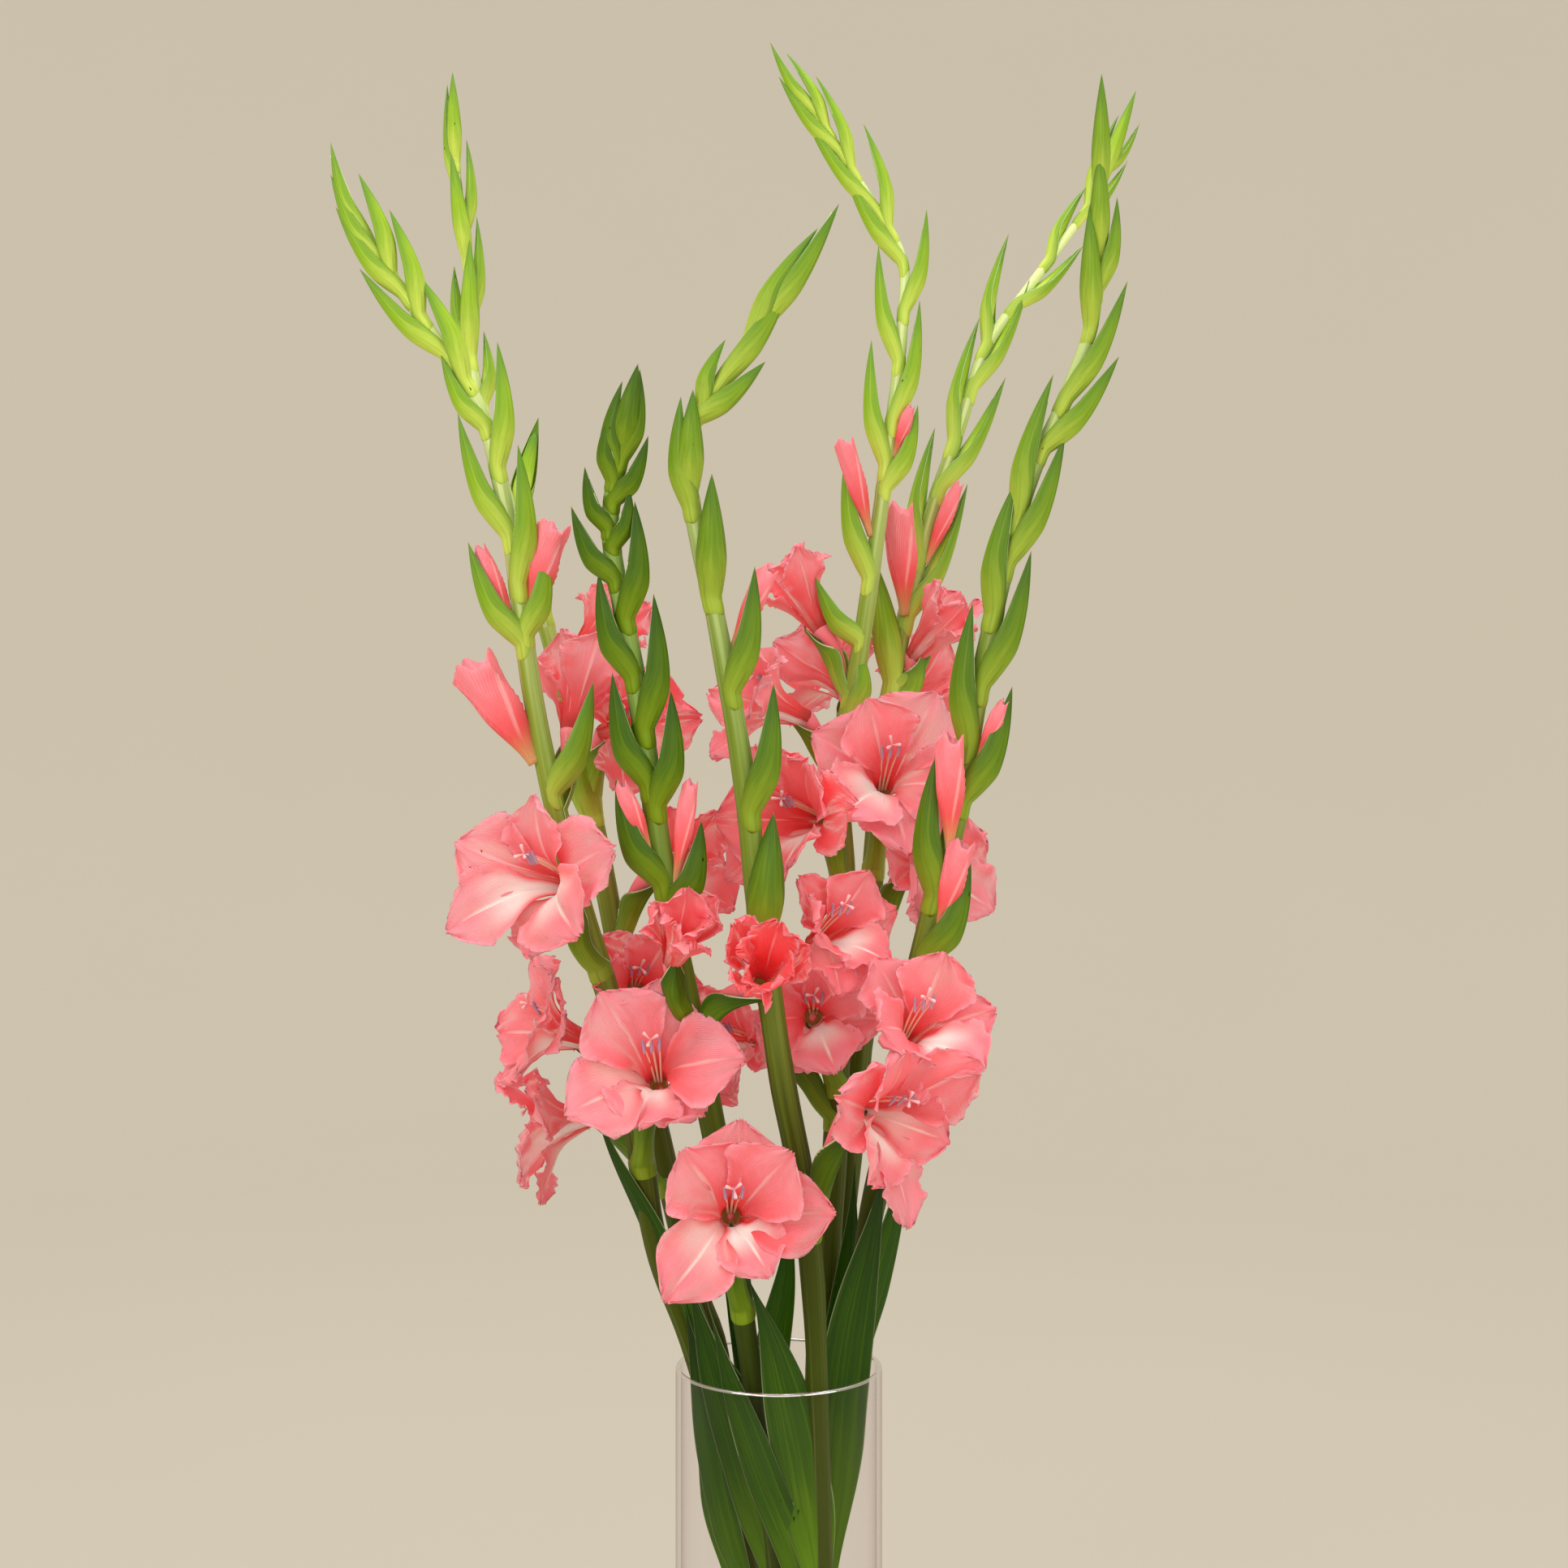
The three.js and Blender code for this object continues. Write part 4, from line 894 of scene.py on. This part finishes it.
def petal_skin(piece, floret, number):
    lean, longer, wider, broader = petal_look(floret, number)
    whorl = whorl_of(number)
    chance = vary(floret.seed * 7 + number)
    middle_angle = floret.roll + number * 2 * pi / PETALS
    reach = floret.length * longer
    breadth = PETAL_WIDTH * floret.length * broader
    opening = floret.opening * wider
    phase = chance * pi * 2
    twist = (vary(floret.seed * 13 + number) - 0.5) * 0.36
    curl = mix(-0.05, 0.3, vary(floret.seed * 17 + number)) * whorl
    rows = {}

    def row(v):
        if v not in rows:
            s = v * 0.985
            outward = floret.spoke(middle_angle + radians(lean) * smooth(0.1, 0.6, s))
            out, forward, angle = petal_line(s, reach, opening)
            half = petal_half_width(s, breadth, out)
            normal = floret.axis * sin(angle) - outward * cos(angle)
            tangent = floret.axis * cos(angle) + outward * sin(angle)
            sideways = outward.cross(floret.axis)
            rows[v] = s, outward, sideways, out, forward, half, normal, tangent
        return rows[v]

    def place(u, v):
        s, outward, sideways, out, forward, half, normal, tangent = row(v)
        side = abs(u)
        across = half * u
        bend = mix(1 / out, PETAL_FLAT_BEND, smooth(0.35, 0.8, s)) * across
        wrap = across / (bend or 1)
        wave = WAVE * side ** 2 * smooth(0.45, 0.85, s) * sin(s * 11 + phase + 1.6 * u)
        ruffle = RUFFLE * side ** 3 * smooth(0.3, 0.6, s) * sin(s * 29 + phase * 2 + 2.2 * u)
        crimp = CRIMP * side ** 5 * smooth(0.4, 0.6, s) * sin(s * 67 + phase * 5)
        brim = smooth(0.8, 1, s) * (
            BRIM_WAVE * sin(u * 7 + phase * 3) + BRIM_CRIMP * sin(u * 21 + phase)
        )
        pleat = PLEAT * sin(u * 8 + phase * 4 + s * 3) * smooth(0.3, 0.6, s)
        groove = -GROOVE * exp(-(u / 0.09) ** 2) * smooth(0.08, 0.3, s) * (1 - smooth(0.7, 1, s))
        turned = (twist * across - curl * abs(across) * side) * smooth(0.4, 1, s)
        rise = (wrap * (1 - cos(bend)) if bend else 0) - whorl * (
            WHORL_STEP * smooth(0, 0.3, s) + WHORL_GAP * smooth(0.3, 0.7, s)
        )
        shorter = reach * (
            0.05 * side ** 2 * smooth(0.6, 1, v)
            + 0.008 * sin(u * 19 + phase) * smooth(0.8, 1, v)
        )
        return (
            floret.throat + floret.axis * forward + outward * out - tangent * shorter
            + sideways * (wrap * sin(bend) if bend else 0)
            + normal * (rise + wave + ruffle + crimp + brim + pleat + groove + turned)
        )

    lower = smooth(0.15, 0.75, -cos(middle_angle + radians(lean)))
    white = lower * (1.0 if floret.wide > 0.6 else 0.4) * (1.0 if whorl < 0 else 0.5)
    deep = DEEP_PINK_AND_PAINTED_SHADE.get(floret.name, 0.25 * vary(floret.seed * 5))
    piece.skin(26, 36, PETAL, place, (chance, white, deep), thickness=PETAL_SKIN)


def strand(piece, finish, start, knee, end, width_at):
    """A thin closed thread along one bend; width_at(s) gives its radius."""
    def place(u, v):
        s = clamp((v - 0.02) / 0.96)
        middle = start * (1 - s) ** 2 + knee * (2 * s * (1 - s)) + end * s * s
        along = ((knee - start) * (1 - s) + (end - knee) * s).normalized()
        out = square(NEAR if abs(along.y) < 0.9 else UP, along)
        radius = width_at(s) * between_ends(v)
        return round_point(middle, out, along.cross(out), u * pi, radius)

    piece.skin(7, 12, finish, place, closed=True)


def stamens(piece, floret):
    throat, axis, top, side = floret.throat, floret.axis, floret.top, floret.side
    reach = floret.length * 0.62
    lean = mix(4, 11, floret.wide)
    for number in (-1, 0, 1):
        start = throat - axis + side * number * 1.6 + top * 1.2
        knee = throat + axis * reach * 0.55 + top * lean * 0.9 + side * number * 3
        end = throat + axis * reach * (0.93 + 0.05 * number) + top * lean + side * number * 4.6
        strand(piece, FILAMENT, start, knee, end, lambda s: mix(0.75, 0.45, s))
        along = (end - knee).normalized()
        tilt = (along + top * 0.7 - axis * 0.2).normalized()
        strand(
            piece, ANTHER, end - tilt * 4.5, end + axis * 0.9, end + tilt * 5,
            lambda s: 0.95 * sin(pi * mix(0.12, 0.9, s)) ** 0.5,
        )
    start = throat + top * 2.4
    knee = throat + axis * reach * 0.6 + top * (lean + 3)
    end = throat + axis * reach * 1.08 + top * (lean + 1.5)
    strand(piece, STIGMA, start, knee, end, lambda s: 0.5)
    for number in range(3):
        away = floret.spoke(number * 2 * pi / 3 + floret.roll)
        strand(
            piece, STIGMA, end, end + axis * 2 + away * 2.5, end + axis * 3.4 + away * 5,
            lambda s: mix(0.4, 1.0, smooth(0, 0.8, s)),
        )


def tube_skin(piece, floret):
    """The tube from the stem to the petals, and the hollow that shows between the petals' feet."""
    root_share = 0.08

    def wall(u, v):
        s = smooth(0, 1, (v - root_share) / 0.92) if v > root_share else 0
        middle, _, out, across = floret.ring(s)
        radius = tube_radius(s) * min(1.0, v / root_share)
        return round_point(middle, out, across, u * pi, radius)

    def well(u, v):
        middle, along, out, across = floret.ring(1)
        deep = middle - along * (THROAT_DEPTH * smooth(0, 1, v))
        return round_point(deep, out, across, u * pi, (RING_RADIUS - 0.2) * (1 - v))

    piece.skin(18, 26, TUBE, wall, (0.5, 0, 0.2), closed=True)
    piece.skin(18, 8, THROAT, well, (0.5, 0, 1.0), closed=True)


def spathe_skin(piece, floret, dark):
    """The sheath of an open floret: it wraps the stem, then holds the tube from below."""
    here = stem_radius(floret.foot.z)
    shade = min(1.0, dark + 0.55 * (1 - smooth(420, 700, floret.foot.z)))

    def shell(u, v):
        if v < SPATHE_CLASP:
            _, _, out, across = floret.ring(0)
            lower = floret.foot - floret.along * (SPATHE_START + 9 * (1 - v / SPATHE_CLASP))
            radius = here + mix(-0.8, 0.6, smooth(0, 0.05, v))
            return round_point(lower, -out, across, u * SPATHE_TURN, radius)
        part = (v - SPATHE_CLASP) / (1 - SPATHE_CLASP)
        share = max(0.0, mix(-0.2, 1.0, part))
        middle, along, out, across = floret.ring(share)
        start = smooth(0, 0.3, part)
        middle = (floret.foot - floret.along * SPATHE_START).lerp(middle, start)
        middle = middle + along * (SPATHE_TIP * smooth(0.75, 1, v))
        roomy = tube_radius(share) + SPATHE_ROOM + 1.8 * sin(pi * part)
        radius = mix(here + 0.6, roomy, start)
        keeled = 1 + 0.2 * exp(-(u / 0.15) ** 2) * start
        keel = radius * keeled + 1.6 * sin(pi * part)
        angle = u * SPATHE_TURN * (1 - smooth(0.45, 1.0, part) ** 1.4)
        return middle - out * (cos(angle) * keel) + across * (sin(angle) * radius)

    piece.skin(20, 34, GREEN, shell, (shade, 1.0, 0.6), thickness=SPATHE_SKIN)


def bud_skin(piece, row, routes):
    """Petals wound around each other, with a ragged mouth."""
    spike, root_height, tip_place, radius, mouth = row
    at, _ = routes[spike].seen_at(root_height)
    tip = seen(tip_place)
    flat = tip - at
    root = at + Vector((flat.x, flat.y, 0)).normalized() * stem_radius(at.z)
    along = (tip - root).normalized()
    out = square(NEAR, along)
    across = along.cross(out)
    length = (tip - root).length

    def place(u, v):
        s = clamp((v - 0.03) / 0.94)
        swell = mix(0.34, 1, smooth(0, 0.6, s)) * mix(1, mouth, smooth(0.72, 1, s))
        around = u * pi
        spiral = (around * 3 / (2 * pi) + s * 1.1) % 1
        crimp = 0.05 * sin(around * 7 + s * 12) * smooth(0.5, 1, s)
        size = radius * swell * (1 + 0.2 * spiral ** 3 - 0.08 + crimp) * between_ends(v)
        turn = around + 0.9 * s
        ragged = 0.35 * radius * sin(around * 3) + 0.12 * radius * sin(around * 8)
        tuck = -9 * mouth if v == 1 else ragged * smooth(0.8, 1, s)
        return (
            root + along * (length * s + tuck)
            + across * (size * sin(turn)) + out * (size * cos(turn))
        )

    piece.skin(42, 30, FURLED, place, (0.6, 0, 0.1), closed=True)


def spin(mesh, parts, steps):
    bmesh.ops.spin(
        mesh, geom=parts, cent=(0, 0, 0), axis=(0, 0, 1), angle=tau, steps=steps, use_merge=True,
    )


def spun(piece, profile, finishes_by_step):
    """A profile of radii and heights, spun into a closed round body."""
    mesh = piece.mesh
    corners = [mesh.verts.new((radius * MM, 0, height * MM)) for radius, height in profile]
    edges = [mesh.edges.new(pair) for pair in zip(corners, corners[1:])]
    for edge, finish in zip(edges, finishes_by_step):
        known = set(mesh.faces)
        spin(mesh, [edge, *edge.verts], ROUND_STEPS)
        for face in mesh.faces:
            if face not in known:
                face.material_index = piece.finishes.index(finish)
                face.smooth = True
    bmesh.ops.remove_doubles(mesh, verts=mesh.verts, dist=5e-6)
    bmesh.ops.recalc_face_normals(mesh, faces=mesh.faces)


def vase():
    inside = VASE_RADIUS - VASE_WALL
    shoulder = VASE_HEIGHT - RIM_ROUNDING

    def rounded(middle, way):
        """A quarter of the rim's round edge, from its shoulder to its top."""
        return [
            (middle + way * RIM_ROUNDING * cos(a), shoulder + RIM_ROUNDING * sin(a))
            for a in (0.4, 0.8, 1.2, pi / 2)
        ]

    profile = [
        (0, 0), (VASE_RADIUS - 3, 0), (VASE_RADIUS - 1, 0.6), (VASE_RADIUS, 2.6),
        (VASE_RADIUS, shoulder), *rounded(VASE_RADIUS - RIM_ROUNDING, 1),
        *reversed(rounded(inside + RIM_ROUNDING, -1)), (inside, shoulder), (inside, VASE_BASE + 3),
        (inside - 1, VASE_BASE + 1), (inside - 4, VASE_BASE), (0, VASE_BASE),
    ]
    finishes = [
        RIM if min(low[1], high[1]) > shoulder - 0.1 else GLASS
        for low, high in zip(profile, profile[1:])
    ]
    piece = Piece("vase_glass", [GLASS, RIM])
    spun(piece, profile, finishes)
    piece.done("vase")


def water():
    """Still water that stands 1 mm up the glass all round."""
    radius = VASE_RADIUS - VASE_WALL - WATER_CLEARANCE
    bottom = VASE_BASE + WATER_CLEARANCE
    profile = [
        (0, bottom), (radius - 5, bottom), (radius - 1.4, bottom + 1.2), (radius, bottom + 3.4),
        (radius, WATER_LEVEL + 0.9), (radius - 1.4, WATER_LEVEL + 0.1),
        (radius - 4, WATER_LEVEL - 0.2), (0, WATER_LEVEL - 0.2),
    ]
    piece = Piece("still_water", [WATER])
    spun(piece, profile, [WATER] * len(profile))
    piece.done("water")


def spikes_and_florets():
    routes = {name: Route(places) for name, places in STEMS.items()}
    rows = enumerate(FLORETS.items(), 1)
    florets = {name: Floret(name, row, seed, routes) for seed, (name, row) in rows}
    for name, (dark, turn) in SPIKES.items():
        node = "spike_" + name
        piece = Piece(node + "_green", [GREEN, STEM, LEAF])
        stem_skin(piece, routes[name], dark)
        for row in BRACTS[name]:
            stem_bract(piece, routes[name], turn, dark, row)
        for floret in florets.values():
            if floret.spike == name:
                spathe_skin(piece, floret, mix(0.35, 0.8, dark))
        for seed, row in enumerate(LEAVES[name], len(node)):
            leaf_skin(piece, row, vary(seed) * 0.8, seed)
        piece.done(node)
    for name, floret in florets.items():
        node = "bloom_" + name
        piece = Piece(node + "_petals", [PETAL, TUBE, THROAT, FILAMENT, ANTHER, STIGMA])
        tube_skin(piece, floret)
        for number in range(PETALS):
            petal_skin(piece, floret, number)
        if floret.wide > 0.45:
            stamens(piece, floret)
        piece.done(node)
    for name, row in BUDS.items():
        node = "bud_" + name
        piece = Piece(node + "_furled", [FURLED])
        bud_skin(piece, row, routes)
        piece.done(node)


def light(name, place, aim, size, watts, tint):
    lamp = bpy.data.lights.new(name, "AREA")
    lamp.size = size
    lamp.energy = watts
    lamp.color = tint
    thing = placed(name, lamp)
    thing.location = place
    thing.rotation_euler = (Vector(aim) - Vector(place)).to_track_quat("-Z", "Y").to_euler()


def backdrop():
    """A pale floor that rises all round, and glows softly as a lit wall does."""
    finish = Finish("backdrop")
    grain = finish.noise(3, 2)
    tint = finish.blend((0.20, 0.178, 0.14), (0.21, 0.187, 0.147), grain)
    shader = finish.add("BsdfPrincipled", None, {
        "Base Color": tint, "Roughness": 0.95, "Specular IOR Level": 0.1,
        "Emission Color": (0.62, 0.56, 0.445), "Emission Strength": 0.67,
    })
    finish.end(shader)
    reach, sweep, height = 2.2, 0.9, 3.4
    mesh = bmesh.new()
    profile = [(0, 0), (reach, 0)]
    for angle in (0.26, 0.52, 0.78, 1.05, 1.31, pi / 2):
        profile.append((reach + sweep * sin(angle), sweep - sweep * cos(angle)))
    profile.append((reach + sweep, height))
    corners = [mesh.verts.new((radius, 0, rise - 0.0005)) for radius, rise in profile]
    edges = [mesh.edges.new(pair) for pair in zip(corners, corners[1:])]
    spin(mesh, [*corners, *edges], 96)
    bmesh.ops.remove_doubles(mesh, verts=mesh.verts, dist=1e-5)
    bmesh.ops.recalc_face_normals(mesh, faces=mesh.faces)
    for face in mesh.faces:
        face.smooth = True
    made = bpy.data.meshes.new("floor")
    mesh.to_mesh(made)
    mesh.free()
    made.materials.append(finish.material)
    placed("floor", made)


def studio():
    backdrop()
    camera = placed("camera", bpy.data.cameras.new("camera"))
    camera.location = EYE * MM
    camera.rotation_euler = (radians(90), 0, 0)
    camera.data.sensor_width = SENSOR_WIDTH
    camera.data.lens = LENS
    bpy.context.scene.camera = camera
    daylight = (1.0, 0.99, 0.98)
    light("key", (-1.3, -1.7, 1.9), aim=(0, 0, 0.6), size=1.5, watts=22, tint=daylight)
    light("fill", (1.6, -1.5, 1.1), aim=(0, 0, 0.6), size=1.5, watts=12, tint=daylight)
    light("front", (0, -2.7, 0.8), aim=(0, 0, 0.55), size=2.4, watts=22, tint=daylight)
    light("top", (0.2, 0.3, 2.6), aim=(0, 0, 0.7), size=1.4, watts=20, tint=(1.0, 1.0, 1.0))
    world = bpy.data.worlds.new("studio")
    world.use_nodes = True
    background = world.node_tree.nodes["Background"]
    background.inputs["Color"].default_value = (0.98, 0.98, 1.0, 1)
    background.inputs["Strength"].default_value = 0.95
    bpy.context.scene.world = world
    bpy.context.scene.view_settings.view_transform = "Standard"


vase()
water()
spikes_and_florets()
studio()
